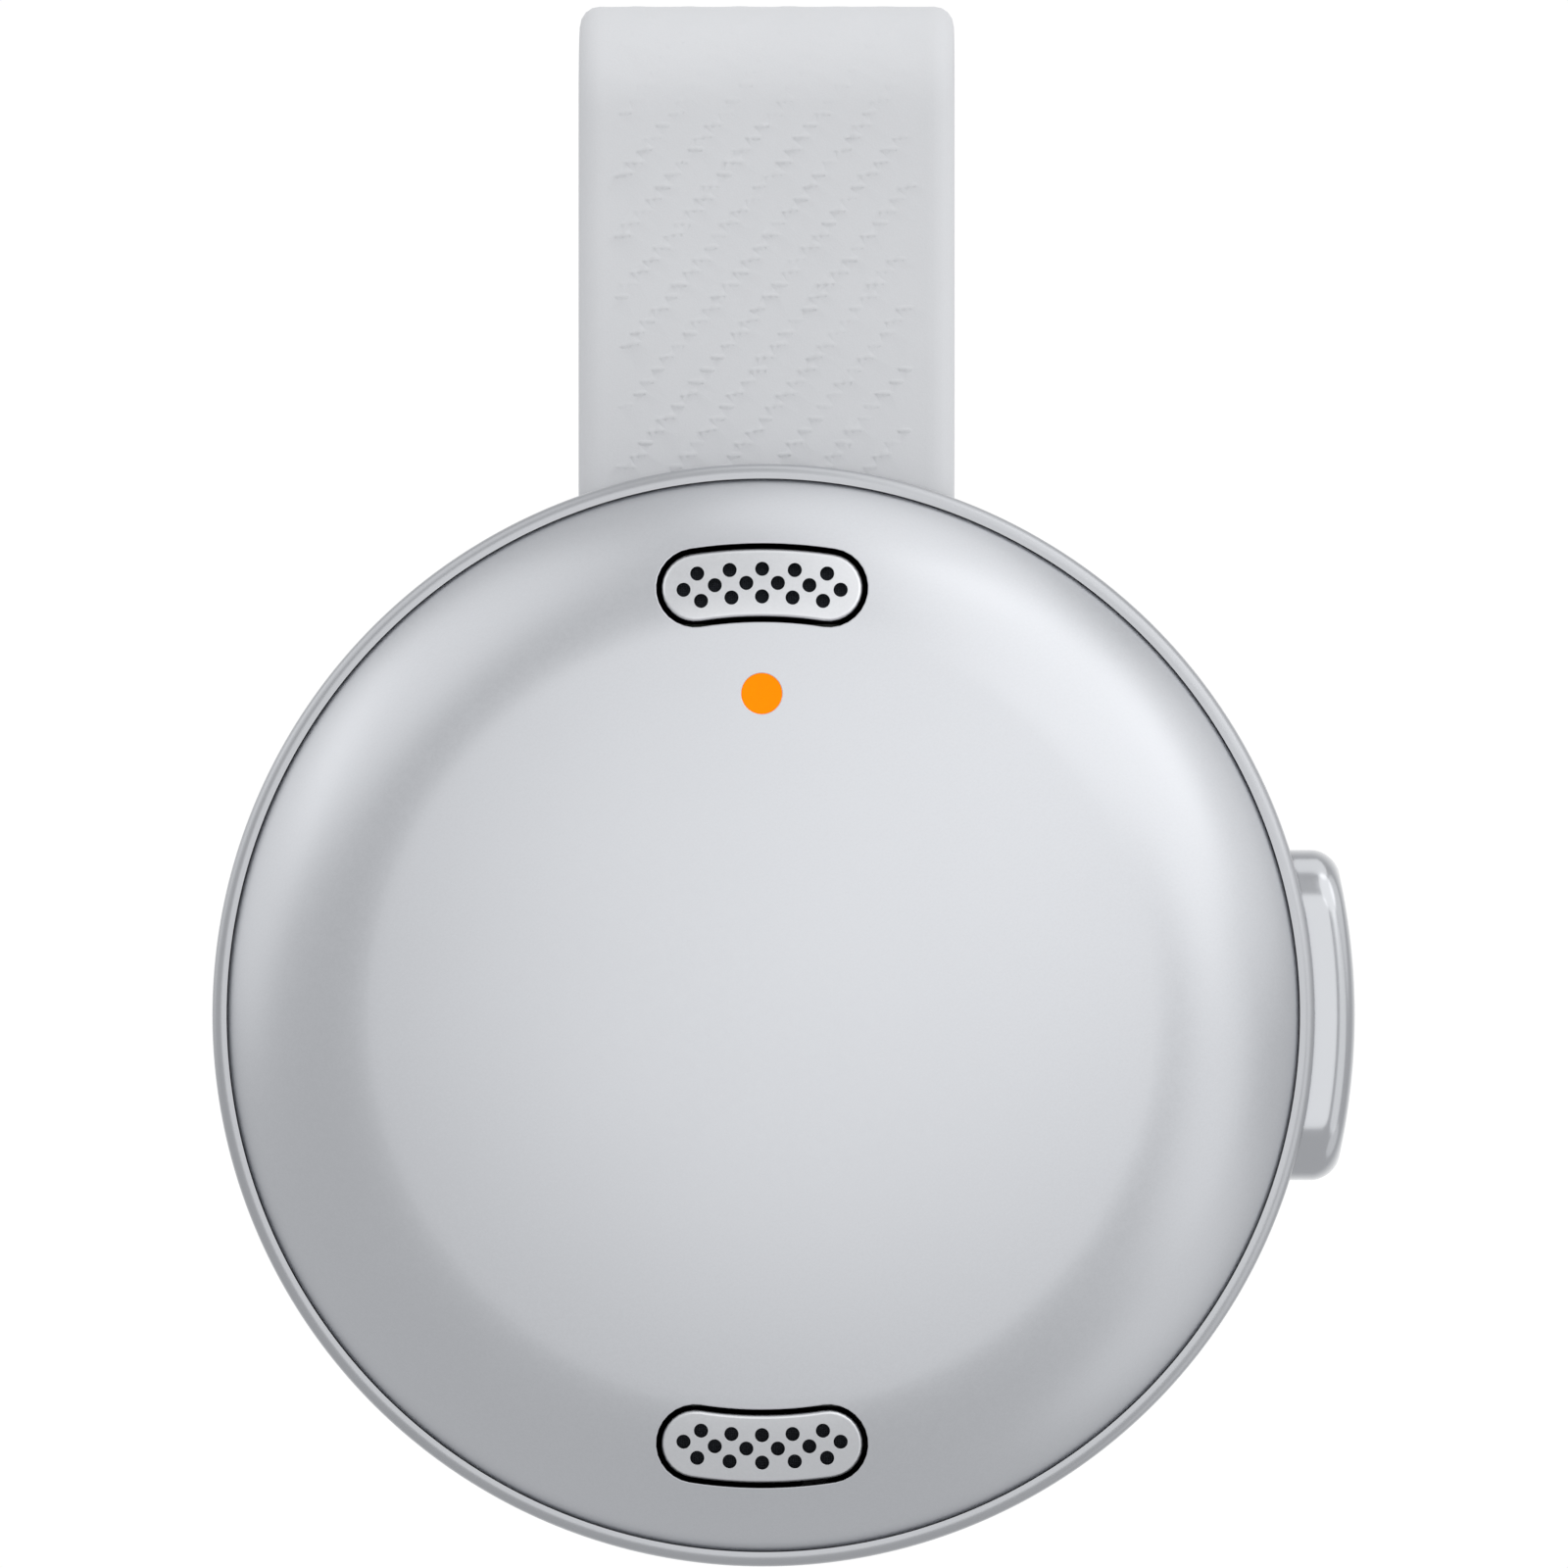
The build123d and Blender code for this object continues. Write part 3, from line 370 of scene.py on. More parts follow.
def lathe(points, faces, normals, start_ring, end_ring, turns, profile):
    """Adds strips turned about the disc's axis from one ring of points to another.

    profile is a list of spans, each ((r, y), (normal r, normal y), (r, y), (normal r, normal y)).
    """

    def spread(r, y):
        first = len(points)
        points.extend(Vector((math.cos(a) * r, y, math.sin(a) * r)) for a in turns)
        return list(range(first, first + len(turns)))

    ring = start_ring
    for number, (_, start_normal, end, end_normal) in enumerate(profile):
        following = end_ring if number == len(profile) - 1 else spread(*end)
        for i, a in enumerate(turns):
            j = (i + 1) % len(turns)
            b = turns[j]
            faces.append((ring[i], following[i], following[j], ring[j]))
            corners = []
            for turn, (nr, ny) in ((a, start_normal), (a, end_normal), (b, end_normal), (b, start_normal)):
                corners.append(Vector((math.cos(turn) * nr, ny, math.sin(turn) * nr)))
            normals.append(corners)
        ring = following


def arc_spans(centre, radius, start, end, count, facing=1):
    """Spans of a profile's arc. Angles are measured from the front, towards the rim."""
    spans = []
    for i in range(count):
        pair = []
        for t in (i / count, (i + 1) / count):
            a = start + (end - start) * t
            pair.append((centre[0] + radius * math.sin(a), centre[1] - radius * math.cos(a)))
            pair.append((math.sin(a) * facing, -math.cos(a) * facing))
        spans.append(tuple(pair))
    return spans


def build_front_cover(material):
    """The domed cover with its two grille slots and light hole, in one closed skin."""
    plate_radius = 20.0
    ring_count = 288
    hidden_steps = 24
    edge = Round((0, 0), plate_radius, ring_count)
    holes = [
        (Slot(90, slot_half_width), 0.05),
        (Slot(270, slot_half_width), 0.05),
        (Round((0, light_z), light_radius, 48), 0.04),
    ]
    skin, lining = dome(0), dome(cover_wall)
    points, faces, normals, front_ring, back_ring = pierced_plate(
        edge, 0, holes, polar_fill(plate_radius, 0.4, 0.6), skin, inner_side(lining)
    )
    centre = (shoulder_centre_r, shoulder_centre_y)
    round_r = cover_radius - cover_edge_round
    inner_reach = shoulder_radius - cover_edge_round
    round_tilt = math.asin((round_r - shoulder_centre_r) / inner_reach)
    round_y = shoulder_centre_y - inner_reach * math.cos(round_tilt)
    start_tilt = math.asin((plate_radius - shoulder_centre_r) / shoulder_radius)
    lining_radius = shoulder_radius - cover_wall
    bore_tilt = math.acos((shoulder_centre_y - cover_edge_y) / lining_radius)
    bore = shoulder_centre_r + lining_radius * math.sin(bore_tilt)
    lining_tilt = math.asin((plate_radius - shoulder_centre_r) / lining_radius)
    profile = arc_spans(centre, shoulder_radius, start_tilt, round_tilt, 12)
    profile += arc_spans((round_r, round_y), cover_edge_round, round_tilt, math.pi / 2, 6)
    profile += [
        ((cover_radius, round_y), (1, 0), (cover_radius, cover_edge_y), (1, 0)),
        ((cover_radius, cover_edge_y), (0, 1), (bore, cover_edge_y), (0, 1)),
    ]
    profile += arc_spans(centre, lining_radius, bore_tilt, lining_tilt, hidden_steps, facing=-1)
    turns = [math.tau * i / ring_count for i in range(ring_count)]
    lathe(points, faces, normals, front_ring, back_ring, turns, profile)
    return make_piece(
        "front_cover_shell", points, faces, normals, "front_key", material,
        ["front_cover"],
    )


def build_grille(name, middle, node, material):
    """A grille island with its rolled edge and three rows of punched holes."""
    holes = []
    for row, count in ((-1, 5), (0, 6), (1, 5)):
        reach = grille_orbit + row * hole_row_step
        for i in range(count):
            a = math.radians(middle) + (i - (count - 1) / 2) * hole_angle_step
            centre = (math.cos(a) * reach, math.sin(a) * reach)
            holes.append((Round(centre, hole_radius, 24), 0.02))
    edge = Slot(middle, island_half_width)
    points, faces, normals, _, _ = pierced_plate(
        edge, 0.16, holes, grid_fill(edge, 0.2), dome(island_inset),
        inner_side(dome(island_inset + island_thickness)),
    )
    return make_piece(name, points, faces, normals, "housing", material, [node])


# ------------------------------------------------------------------ ring


class Opening:
    """A round-ended opening cut along X through the ring, at its right (side 1) or left (side -1)."""

    def __init__(self, side, middle_y, half_length, radius):
        self.side = side
        self.middle_y = middle_y
        self.half_length = half_length
        self.radius = radius

    def rim(self, cap_count=20, side_count=14):
        """Points (Y, Z) and outward directions around the opening."""
        reach = self.half_length - self.radius
        points = []
        for end in (1, -1):
            for i in range(cap_count + 1):
                a = end * math.pi / 2 - math.pi / 2 + math.pi * i / cap_count
                outward = Vector((math.cos(a), math.sin(a)))
                points.append((Vector((self.middle_y, end * reach)) + outward * self.radius, outward))
            start, outward = points[-1]
            for i in range(1, side_count):
                points.append((start - Vector((0, end * 2 * reach * i / side_count)), outward))
        return points

    def turn(self, z, radius):
        """Where a height is on a wall of that radius, as an angle about the disc's axis."""
        a = math.asin(z / radius)
        return a if self.side > 0 else math.pi - a

    def holds(self, y, z):
        reach = self.half_length - self.radius
        beyond = max(0.0, abs(z) - reach)
        return math.hypot(y - self.middle_y, beyond) < self.radius


def pierced_wall(radius, front_y, rear_y, openings, count):
    """A round wall with openings: points, triangles, its two edges' rings and each opening's ring."""
    turns = [-math.pi / 2 + math.tau * i / count for i in range(count + 1)]
    outline = [Vector((a * radius, front_y)) for a in turns]
    outline += [Vector((a * radius, rear_y)) for a in reversed(turns)]
    loops = [outline]
    for opening in openings:
        loops.append([Vector((opening.turn(p.y, radius) * radius, p.x)) for p, _ in opening.rim()])

    def keep(p):
        a = p.x / radius
        for opening in openings:
            near = math.cos(a) * opening.side > 0
            if near and opening.holds(p.y, math.sin(a) * radius):
                return False
        return True

    flat, triangles, rings, _ = triangulate(loops, [], keep)
    points = []
    for p in flat:
        a = p.x / radius
        points.append(Vector((math.cos(a) * radius, p.y, math.sin(a) * radius)))
    front_ring = rings[0][:count]
    rear_ring = list(reversed(rings[0][count + 1:]))[:count]
    return points, triangles, front_ring, rear_ring, rings[1:]


def build_ring(material):
    """The ring around the dome, with the openings of the side key and of the charging socket."""
    count = 360
    outer, inner = high("chassis_ring").x, 20.6
    front_y, seam_y = low("chassis_ring").y, high("chassis_ring").y
    lip_radius, lip_depth, lip_round, seam_round = cover_radius + 0.02, 1.0, 0.42, 0.1
    key, socket = low("volume_rocker"), low("charging_socket")
    key_top, socket_top = high("volume_rocker"), high("charging_socket")
    gap, key_end_gap = 0.15, 0.25
    key_middle, socket_middle = (key.y + key_top.y) / 2, (socket.y + socket_top.y) / 2
    openings = [
        Opening(1, key_middle, key_top.z + key_end_gap, (key_top.y - key.y) / 2 + gap),
        Opening(-1, socket_middle, socket_top.z + gap, (socket_top.y - socket.y) / 2 + gap),
    ]
    points, faces, normals = [], [], []
    edges, rims = [], []
    walls = ((outer, front_y + lip_round, seam_y - seam_round, 1), (inner, front_y + lip_depth, seam_y, -1))
    for radius, start_y, end_y, outward in walls:
        first = len(points)
        wall, triangles, front_ring, rear_ring, holes = pierced_wall(radius, start_y, end_y, openings, count)
        points += wall
        for t in triangles:
            order = tuple(reversed(t)) if outward > 0 else t
            faces.append(tuple(first + i for i in order))
            normals.append([Vector((wall[i].x, 0, wall[i].z)).normalized() * outward for i in order])
        edges.append(([first + i for i in front_ring], [first + i for i in rear_ring]))
        rims.append([[first + i for i in hole] for hole in holes])
    turns = [-math.pi / 2 + math.tau * i / count for i in range(count)]
    lip_y = front_y + lip_depth
    flat_r = outer - lip_round
    front_profile = [
        ((inner, lip_y), (0, -1), (lip_radius, lip_y), (0, -1)),
        ((lip_radius, lip_y), (-1, 0), (lip_radius, front_y), (-1, 0)),
        ((lip_radius, front_y), (0, -1), (flat_r, front_y), (0, -1)),
    ]
    front_profile += arc_spans((flat_r, front_y + lip_round), lip_round, 0, math.pi / 2, 10)
    lathe(points, faces, normals, edges[1][0], edges[0][0], turns, front_profile)
    rear_profile = arc_spans(
        (outer - seam_round, seam_y - seam_round), seam_round, math.pi / 2, math.pi, 4
    )
    rear_profile.append(((outer - seam_round, seam_y), (0, 1), (inner, seam_y), (0, 1)))
    lathe(points, faces, normals, edges[0][1], edges[1][1], turns, rear_profile)
    for opening, outer_rim, inner_rim in zip(openings, *rims):
        directions = [Vector((0, -d.x, -d.y)) for _, d in opening.rim()]
        for i in range(len(directions)):
            j = (i + 1) % len(directions)
            quad = [(outer_rim[i], i), (outer_rim[j], j), (inner_rim[j], j), (inner_rim[i], i)]
            if opening.side < 0:
                quad.reverse()
            faces.append(tuple(corner for corner, _ in quad))
            normals.append([directions[k] for _, k in quad])
    make_piece(
        "ring_shell", points, faces, normals, "housing", material, ["chassis_ring"]
    )


# ------------------------------------------------------------------ side key


def build_side_key(material):
    """The rocker: a bar with rounded ends, a curved face and a rolled edge, in the ring's opening."""
    box_low, box_high = low("volume_rocker"), high("volume_rocker")
    half_thickness = (box_high.y - box_low.y) / 2
    middle_y = (box_high.y + box_low.y) / 2
    half_length, front_x = box_high.z, box_high.x
    cap_length, face_radius, edge_roll, inner_x = 2.5, 25.8, 0.9, 20.3
    cap_count, side_count, roll_count = 32, 24, 10
    wall_sinks = (1.6, 1.1)
    face_insets = (1.15, 1.4, 1.65, 1.9, 2.05)
    straight = half_length - cap_length

    def face_x(z):
        return front_x - face_radius + math.sqrt(face_radius**2 - z**2)

    def outline(inset):
        loop = []
        for end in (1, -1):
            for i in range(cap_count + 1):
                a = end * math.pi / 2 - math.pi / 2 + math.pi * i / cap_count
                y = (half_thickness - inset) * math.cos(a)
                z = end * straight + (cap_length - inset) * math.sin(a)
                loop.append(Vector((y, z)))
            start = loop[-1]
            for i in range(1, side_count):
                loop.append(start - Vector((0, end * 2 * straight * i / side_count)))
        return loop

    points, faces = [], []

    def add_ring(inset, sink):
        first = len(points)
        for p in outline(inset):
            x = inner_x if sink is None else face_x(p.y) - sink
            points.append(Vector((x, middle_y + p.x, p.y)))
        return list(range(first, len(points)))

    rings = [add_ring(0, None)] + [add_ring(0, sink) for sink in wall_sinks]
    for i in range(roll_count + 1):
        a = math.pi / 2 * i / roll_count
        rings.append(add_ring(edge_roll * (1 - math.cos(a)), edge_roll * (1 - math.sin(a))))
    rings += [add_ring(inset, 0) for inset in face_insets]
    for outer_ring, inner_ring in zip(rings, rings[1:]):
        for i in range(len(outer_ring)):
            j = (i + 1) % len(outer_ring)
            faces.append((outer_ring[i], outer_ring[j], inner_ring[j], inner_ring[i]))
    faces.append(tuple(reversed(rings[0])))
    # The crown inside the last ring: its two round ends, then the strip between them
    crown = rings[-1]
    lower_end = cap_count + side_count
    for first in (0, lower_end):
        for i in range(cap_count // 2):
            near, far = first + i, first + cap_count - i
            corners = [crown[near], crown[near + 1], crown[far - 1], crown[far]]
            faces.append(tuple(dict.fromkeys(corners)))
    left = crown[cap_count:lower_end + 1]
    right = [crown[0]] + crown[:lower_end + cap_count - 1:-1]
    for i in range(side_count):
        faces.append((left[i], left[i + 1], right[i + 1], right[i]))
    make_piece(
        "side_key_cap", points, faces, None, "volume_key", material, ["volume_rocker"]
    )


# ------------------------------------------------------------------ strap


class Tongue:
    """The outline of the unrolled strap: X across, Y along it, with rounded ends."""

    def __init__(self, half_width, start, end, start_round, end_round):
        self.half_width = half_width
        self.start = start
        self.end = end
        self.start_round = start_round
        self.end_round = end_round

    def distance(self, p):
        """Distance from the outline, negative inside."""
        middle = (self.start + self.end) / 2
        radius = self.start_round if p.y < middle else self.end_round
        across = abs(p.x) - self.half_width + radius
        along = abs(p.y - middle) - (self.end - self.start) / 2 + radius
        return math.hypot(max(across, 0), max(along, 0)) + min(max(across, along), 0) - radius

    def loop(self, grow, along_step=0.5, corner_count=8):
        """Points around the outline, moved out by grow."""
        w = self.half_width + grow
        near, far = self.start - grow, self.end + grow
        near_round, far_round = self.start_round + grow, self.end_round + grow
        corners = [
            (Vector((w - near_round, near + near_round)), near_round, -math.pi / 2),
            (Vector((w - far_round, far - far_round)), far_round, 0.0),
            (Vector((far_round - w, far - far_round)), far_round, math.pi / 2),
            (Vector((near_round - w, near + near_round)), near_round, math.pi),
        ]
        side_count, end_count = round((self.end - self.start) / along_step), 24
        points = []
        for number, (centre, radius, turn) in enumerate(corners):
            for i in range(corner_count + 1):
                a = turn + math.pi / 2 * i / corner_count
                points.append(centre + Vector((math.cos(a), math.sin(a))) * radius)
            following, following_radius, following_turn = corners[(number + 1) % 4]
            ahead = Vector((math.cos(following_turn), math.sin(following_turn)))
            target = following + ahead * following_radius
            count = side_count if number % 2 == 0 else end_count
            start = points[-1]
            points += [start.lerp(target, i / count) for i in range(1, count)]
        return points


def strap_line():
    """The strap's middle line as (length, curvature) spans, and the length where the jaw is."""
    to_jaw = (jaw - leg_bend).normalized()
    to_tip = (flare - jaw).normalized()
    first_turn = Vector((0, -1)).angle(to_jaw)
    second_turn = to_jaw.angle(to_tip)
    first_cut = leg_bend_radius * math.tan(first_turn / 2)
    second_cut = jaw_bend_radius * math.tan(second_turn / 2)
    spans = [
        (loop_z - strap_foot_z, 0.0),
        (math.pi * loop_radius, 1 / loop_radius),
        (loop_z - leg_bend.y - first_cut, 0.0),
        (leg_bend_radius * first_turn, 1 / leg_bend_radius),
        ((jaw - leg_bend).length - first_cut - second_cut, 0.0),
        (jaw_bend_radius * second_turn, -1 / jaw_bend_radius),
    ]
    at_jaw = sum(length for length, _ in spans[:5]) + second_cut
    below_jaw = (jaw.y - strap_tip_z) / -to_tip.y - second_cut
    spans.append((below_jaw, 0.0))
    return spans, at_jaw


strap_spans, strap_jaw = strap_line()
strap_length = sum(length for length, _ in strap_spans)


def along_strap(distance):
    """The middle line's point (Y, Z) at a distance from the foot, and the outward direction there."""
    point = Vector((-strap_half_thickness, strap_foot_z))
    heading = 0.0
    left = distance
    for number, (length, curvature) in enumerate(strap_spans):
        step = left if number == len(strap_spans) - 1 else min(left, length)
        if curvature:
            after = heading + curvature * step
            turn = Vector((math.cos(heading) - math.cos(after), math.sin(after) - math.sin(heading)))
            point = point + turn / curvature
            heading = after
        else:
            point = point + Vector((math.sin(heading), math.cos(heading))) * step
        left -= step
        if left <= 0:
            break
    return point, Vector((-math.cos(heading), math.sin(heading)))


def bent(flat, lift):
    """A point of the unrolled strap in its place, lift outward from the middle line."""
    point, outward = along_strap(flat.y)
    place = point + outward * lift
    return Vector((flat.x, place.x, place.y))


def twill(outline, chance):
    """The moulded dashes of the strap's outer face, as points with heights."""
    points, heights = [], []
    rows = int((strap_length - 2 * dash_end_gap) / dash_row_step)
    loop_start, loop_end = strap_spans[0][0], strap_spans[0][0] + strap_spans[1][0]
    for row in range(rows):
        along = dash_end_gap + row * dash_row_step
        into_loop = min(along - loop_start + 1.5, loop_end + 1.5 - along)
        fade = 1.0 - 0.75 * min(1.0, max(0.0, into_loop / 2.5))
        phase = (row * dash_row_shift) % dash_repeat
        for column in range(-dash_columns, dash_columns + 1):
            middle = column * dash_repeat + phase + chance.uniform(-0.09, 0.09)
            half = dash_half_length * chance.uniform(0.75, 1.2)
            outer_end = Vector((abs(middle) + half, along))
            if outline.distance(outer_end) > -dash_margin:
                continue
            height = dash_height * fade * chance.choice((0.4, 0.7, 0.85, 0.95, 1.0))
            width = dash_half_width * chance.uniform(0.85, 1.1)
            tilt = chance.uniform(-0.02, 0.22)
            at = along + chance.uniform(-0.02, 0.02)
            rim = [(-1, 0), (-0.7, -0.85), (0, -1), (0.7, -0.85), (1, 0), (0.7, 0.85), (0, 1), (-0.7, 0.85)]
            for x, y in rim:
                points.append(Vector((middle + x * half, at + y * width + tilt * x * half)))
                points.append(points[-1] + Vector((x, y)).normalized() * dash_moat)
                heights += [0.0, 0.0]
            for x, share in ((-0.7, 0.7), (-0.35, 1.0), (0.0, 1.0), (0.35, 1.0), (0.7, 0.7)):
                crest = at + dash_crest_shift * width + tilt * x * half
                points.append(Vector((middle + x * half, crest)))
                heights.append(height * share)
    return points, heights


def grip_ribs():
    """The ribs of the jaw's inner face, as points with heights."""
    points, heights = [], []
    for distance in rib_distances:
        for step in (-1.0, -0.9, -0.7, -0.4, 0.0, 0.4, 0.7, 0.9, 1.0):
            height = rib_radius * math.sqrt(1 - step * step)
            for i in range(-10, 11):
                x = rib_half_length * i / 10
                points.append(Vector((x, strap_jaw - distance + step * rib_radius)))
                heights.append(height if abs(i) < 10 else 0.0)
            for x in (-rib_half_length * 0.98, rib_half_length * 0.98):
                points.append(Vector((x, strap_jaw - distance + step * rib_radius)))
                heights.append(height)
    return points, heights


def clamp_pocket():
    """The pocket of the clamp plate in the foot's inner face, as points with heights."""
    plate_low, plate_high = low("clip_clamp_plate"), high("clip_clamp_plate")
    corner_round, depth = 0.9, 0.5
    points, heights = [], []
    for grow, height in ((0.07, 0.0), (0.05, -depth), (-1.2, -depth)):
        pocket = Tongue(
            plate_high.x + grow,
            plate_low.z - strap_foot_z - grow,
            plate_high.z - strap_foot_z + grow,
            max(corner_round + grow, 0.1),
            max(corner_round + grow, 0.1),
        )
        loop = pocket.loop(0, 0.4, 6)
        points += loop
        heights += [height] * len(loop)
    return points, heights


def build_band(name, outline, thickness, roll, fill_step, reliefs, material, replaced):
    """A strap or its spring core: a bent plate with rolled edges.

    reliefs is the outer face's and the inner face's list of points with heights.
    """
    steps = (0.25, 0.5, 0.75, 1.0)
    points, faces = [], []
    loops = []
    for side, (relief_points, relief_heights) in zip((1, -1), reliefs):
        rim = outline.loop(-roll)
        relief = [
            (p, height) for p, height in zip(relief_points, relief_heights)
            if outline.distance(p) < -roll - 0.05
        ]
        fill = [p for p, _ in relief]
        rows = int((outline.end - outline.start) / fill_step)
        for row in range(1, rows):
            along = outline.start + row * fill_step
            spread = [Vector((x * (outline.half_width - roll), along)) for x in (-0.96, -0.5, 0, 0.5, 0.96)]
            fill += [p for p in spread if outline.distance(p) < -roll - 0.2]
        flat, triangles, rings, places = triangulate(
            [rim], fill, lambda p: outline.distance(p) < 1e-4 - roll
        )
        lift = {places[i]: height for i, (_, height) in enumerate(relief)}
        first = len(points)
        half = thickness[0] if side > 0 else thickness[1]
        for i, p in enumerate(flat):
            points.append(bent(p, side * (half + lift.get(i, 0.0))))
        for triangle in triangles:
            t = triangle if side > 0 else tuple(reversed(triangle))
            faces.append(tuple(first + i for i in t))
        loops.append([first + i for i in rings[0]])
    rolled = []
    for side in (1, -1):
        half = thickness[0] if side > 0 else thickness[1]
        for s in steps if side > 0 else tuple(reversed(steps)):
            inset = roll * (1 - math.sin(s * math.pi / 2))
            sink = roll * (1 - math.cos(s * math.pi / 2))
            first = len(points)
            loop = outline.loop(-inset)
            points += [bent(p, side * (half - sink)) for p in loop]
            rolled.append(list(range(first, first + len(loop))))
    strip = [loops[0]] + rolled + [loops[1]]
    for upper, lower in zip(strip, strip[1:]):
        for i in range(len(upper)):
            j = (i + 1) % len(upper)
            faces.append((upper[i], lower[i], lower[j], upper[j]))
    piece = make_piece(name, points, faces, None, None, material, replaced)
    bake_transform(piece)
    return piece


def build_strap(material, core_material):
    """The strap's skin with its twill, ribs and clamp pocket, and the spring core inside it."""
    chance = random.Random(7)
    inner_points, inner_heights = grip_ribs()
    pocket_points, pocket_heights = clamp_pocket()
    outline = Tongue(strap_half_width, 0, strap_length, strap_foot_round, strap_tip_round)
    thickness = (strap_half_thickness - dash_height, strap_half_thickness)
    build_band(
        "strap_skin", outline, thickness, strap_edge, 0.5,
        (twill(outline, chance), (inner_points + pocket_points, inner_heights + pocket_heights)),
        material, ["strap_front", "strap_bend", "strap_rear"],
    )
    core_end = strap_length - (core_tip_z - strap_tip_z)
    core = Tongue(core_half_width, core_foot_z - strap_foot_z, core_end, 0.3, 0.3)
    build_band(
        "spring_core", core, (core_half_thickness, core_half_thickness), 0.08, 0.5,
        (([], []), ([], [])), core_material, ["clip_spring"],
    )


# ------------------------------------------------------------------ materials


def new_material(name):
    """A material with its nodes, its links and its shader."""
    material = bpy.data.materials.new(name)
    material.use_nodes = True
    nodes = material.node_tree.nodes
    return material, nodes, material.node_tree.links, nodes["Principled BSDF"]


def place_of(nodes, links, stretch=(1, 1, 1)):
    """The object's own coordinates, stretched along its axes."""
    mapping = nodes.new("ShaderNodeMapping")
    mapping.inputs["Scale"].default_value = stretch
    links.new(nodes.new("ShaderNodeTexCoord").outputs["Object"], mapping.inputs["Vector"])
    return mapping.outputs["Vector"]


def noise(nodes, links, place, size, detail=4):
    """A noise texture whose features are about size millimetres across."""
    n = nodes.new("ShaderNodeTexNoise")
    n.inputs["Scale"].default_value = 1 / (size * MM)
    n.inputs["Detail"].default_value = detail
    links.new(place, n.inputs["Vector"])
    return n.outputs["Fac"]


def flakes(nodes, links, place, size):
    """A random value for each cell, cells being about size millimetres across."""
    cells = nodes.new("ShaderNodeTexVoronoi")
    cells.inputs["Scale"].default_value = 1 / (size * MM)
    links.new(place, cells.inputs["Vector"])
    split = nodes.new("ShaderNodeSeparateColor")
    links.new(cells.outputs["Color"], split.inputs["Color"])
    return split.outputs["Red"]


def threads(nodes, links, place, size):
    """A plain weave seen along Y: two crossing sets of threads, size millimetres apart."""
    heights = []
    for direction in ("X", "Z"):
        wave = nodes.new("ShaderNodeTexWave")
        wave.bands_direction = direction
        wave.inputs["Scale"].default_value = 1 / (size * MM) / 3.2
        links.new(place, wave.inputs["Vector"])
        heights.append(wave.outputs["Fac"])
    most = nodes.new("ShaderNodeMath")
    most.operation = "MAXIMUM"
    links.new(heights[0], most.inputs[0])
    links.new(heights[1], most.inputs[1])
    return most.outputs["Value"]


def ramp(nodes, links, value, dark, light, start=0.3, end=0.7):
    """A colour ramp from dark to light over a part of a texture's range."""
    r = nodes.new("ShaderNodeValToRGB")
    r.color_ramp.elements[0].position = start
    r.color_ramp.elements[0].color = (*dark, 1)
    r.color_ramp.elements[1].position = end
    r.color_ramp.elements[1].color = (*light, 1)
    links.new(value, r.inputs["Fac"])
    return r.outputs["Color"]


def between(nodes, links, value, least, most, start=0.3, end=0.7):
    """Maps a part of a texture's range to a range of numbers."""
    m = nodes.new("ShaderNodeMapRange")
    m.inputs["From Min"].default_value = start
    m.inputs["From Max"].default_value = end
    m.inputs["To Min"].default_value = least
    m.inputs["To Max"].default_value = most
    links.new(value, m.inputs["Value"])
    return m.outputs["Result"]


def bump(nodes, links, shader, height, depth):
    """Adds a bump about depth millimetres deep."""
    b = nodes.new("ShaderNodeBump")
    b.inputs["Distance"].default_value = depth * MM
    links.new(height, b.inputs["Height"])
    links.new(b.outputs["Normal"], shader.inputs["Normal"])


def tint(value, blue=0.0):
    """A grey of linear brightness value, turned a little to blue."""
    return (value, value * (1 + blue / 3), value * (1 + blue))


def finish_of(name, dark, light, rough, grain=0.1, depth=0.003, metallic=0.0, blotch=7.0,
              pattern="noise", stretch=(1, 1, 1), **sockets):
    """A material with broad tone changes and a fine pattern in its colour, roughness and height."""
    material, nodes, links, shader = new_material(name)
    place = place_of(nodes, links, stretch)
    fine = {"noise": noise, "flakes": flakes, "threads": threads}[pattern](nodes, links, place, grain)
    broad = noise(nodes, links, place_of(nodes, links), blotch, 2)
    mix = nodes.new("ShaderNodeMix")
    mix.inputs["Factor"].default_value = 0.5
    links.new(fine, mix.inputs["A"])
    links.new(broad, mix.inputs["B"])
    links.new(ramp(nodes, links, mix.outputs["Result"], dark, light), shader.inputs["Base Color"])
    links.new(between(nodes, links, fine, *rough), shader.inputs["Roughness"])
    bump(nodes, links, shader, fine, depth)
    shader.inputs["Metallic"].default_value = metallic
    for socket, value in sockets.items():
        shader.inputs[socket.replace("_", " ")].default_value = value
    return material


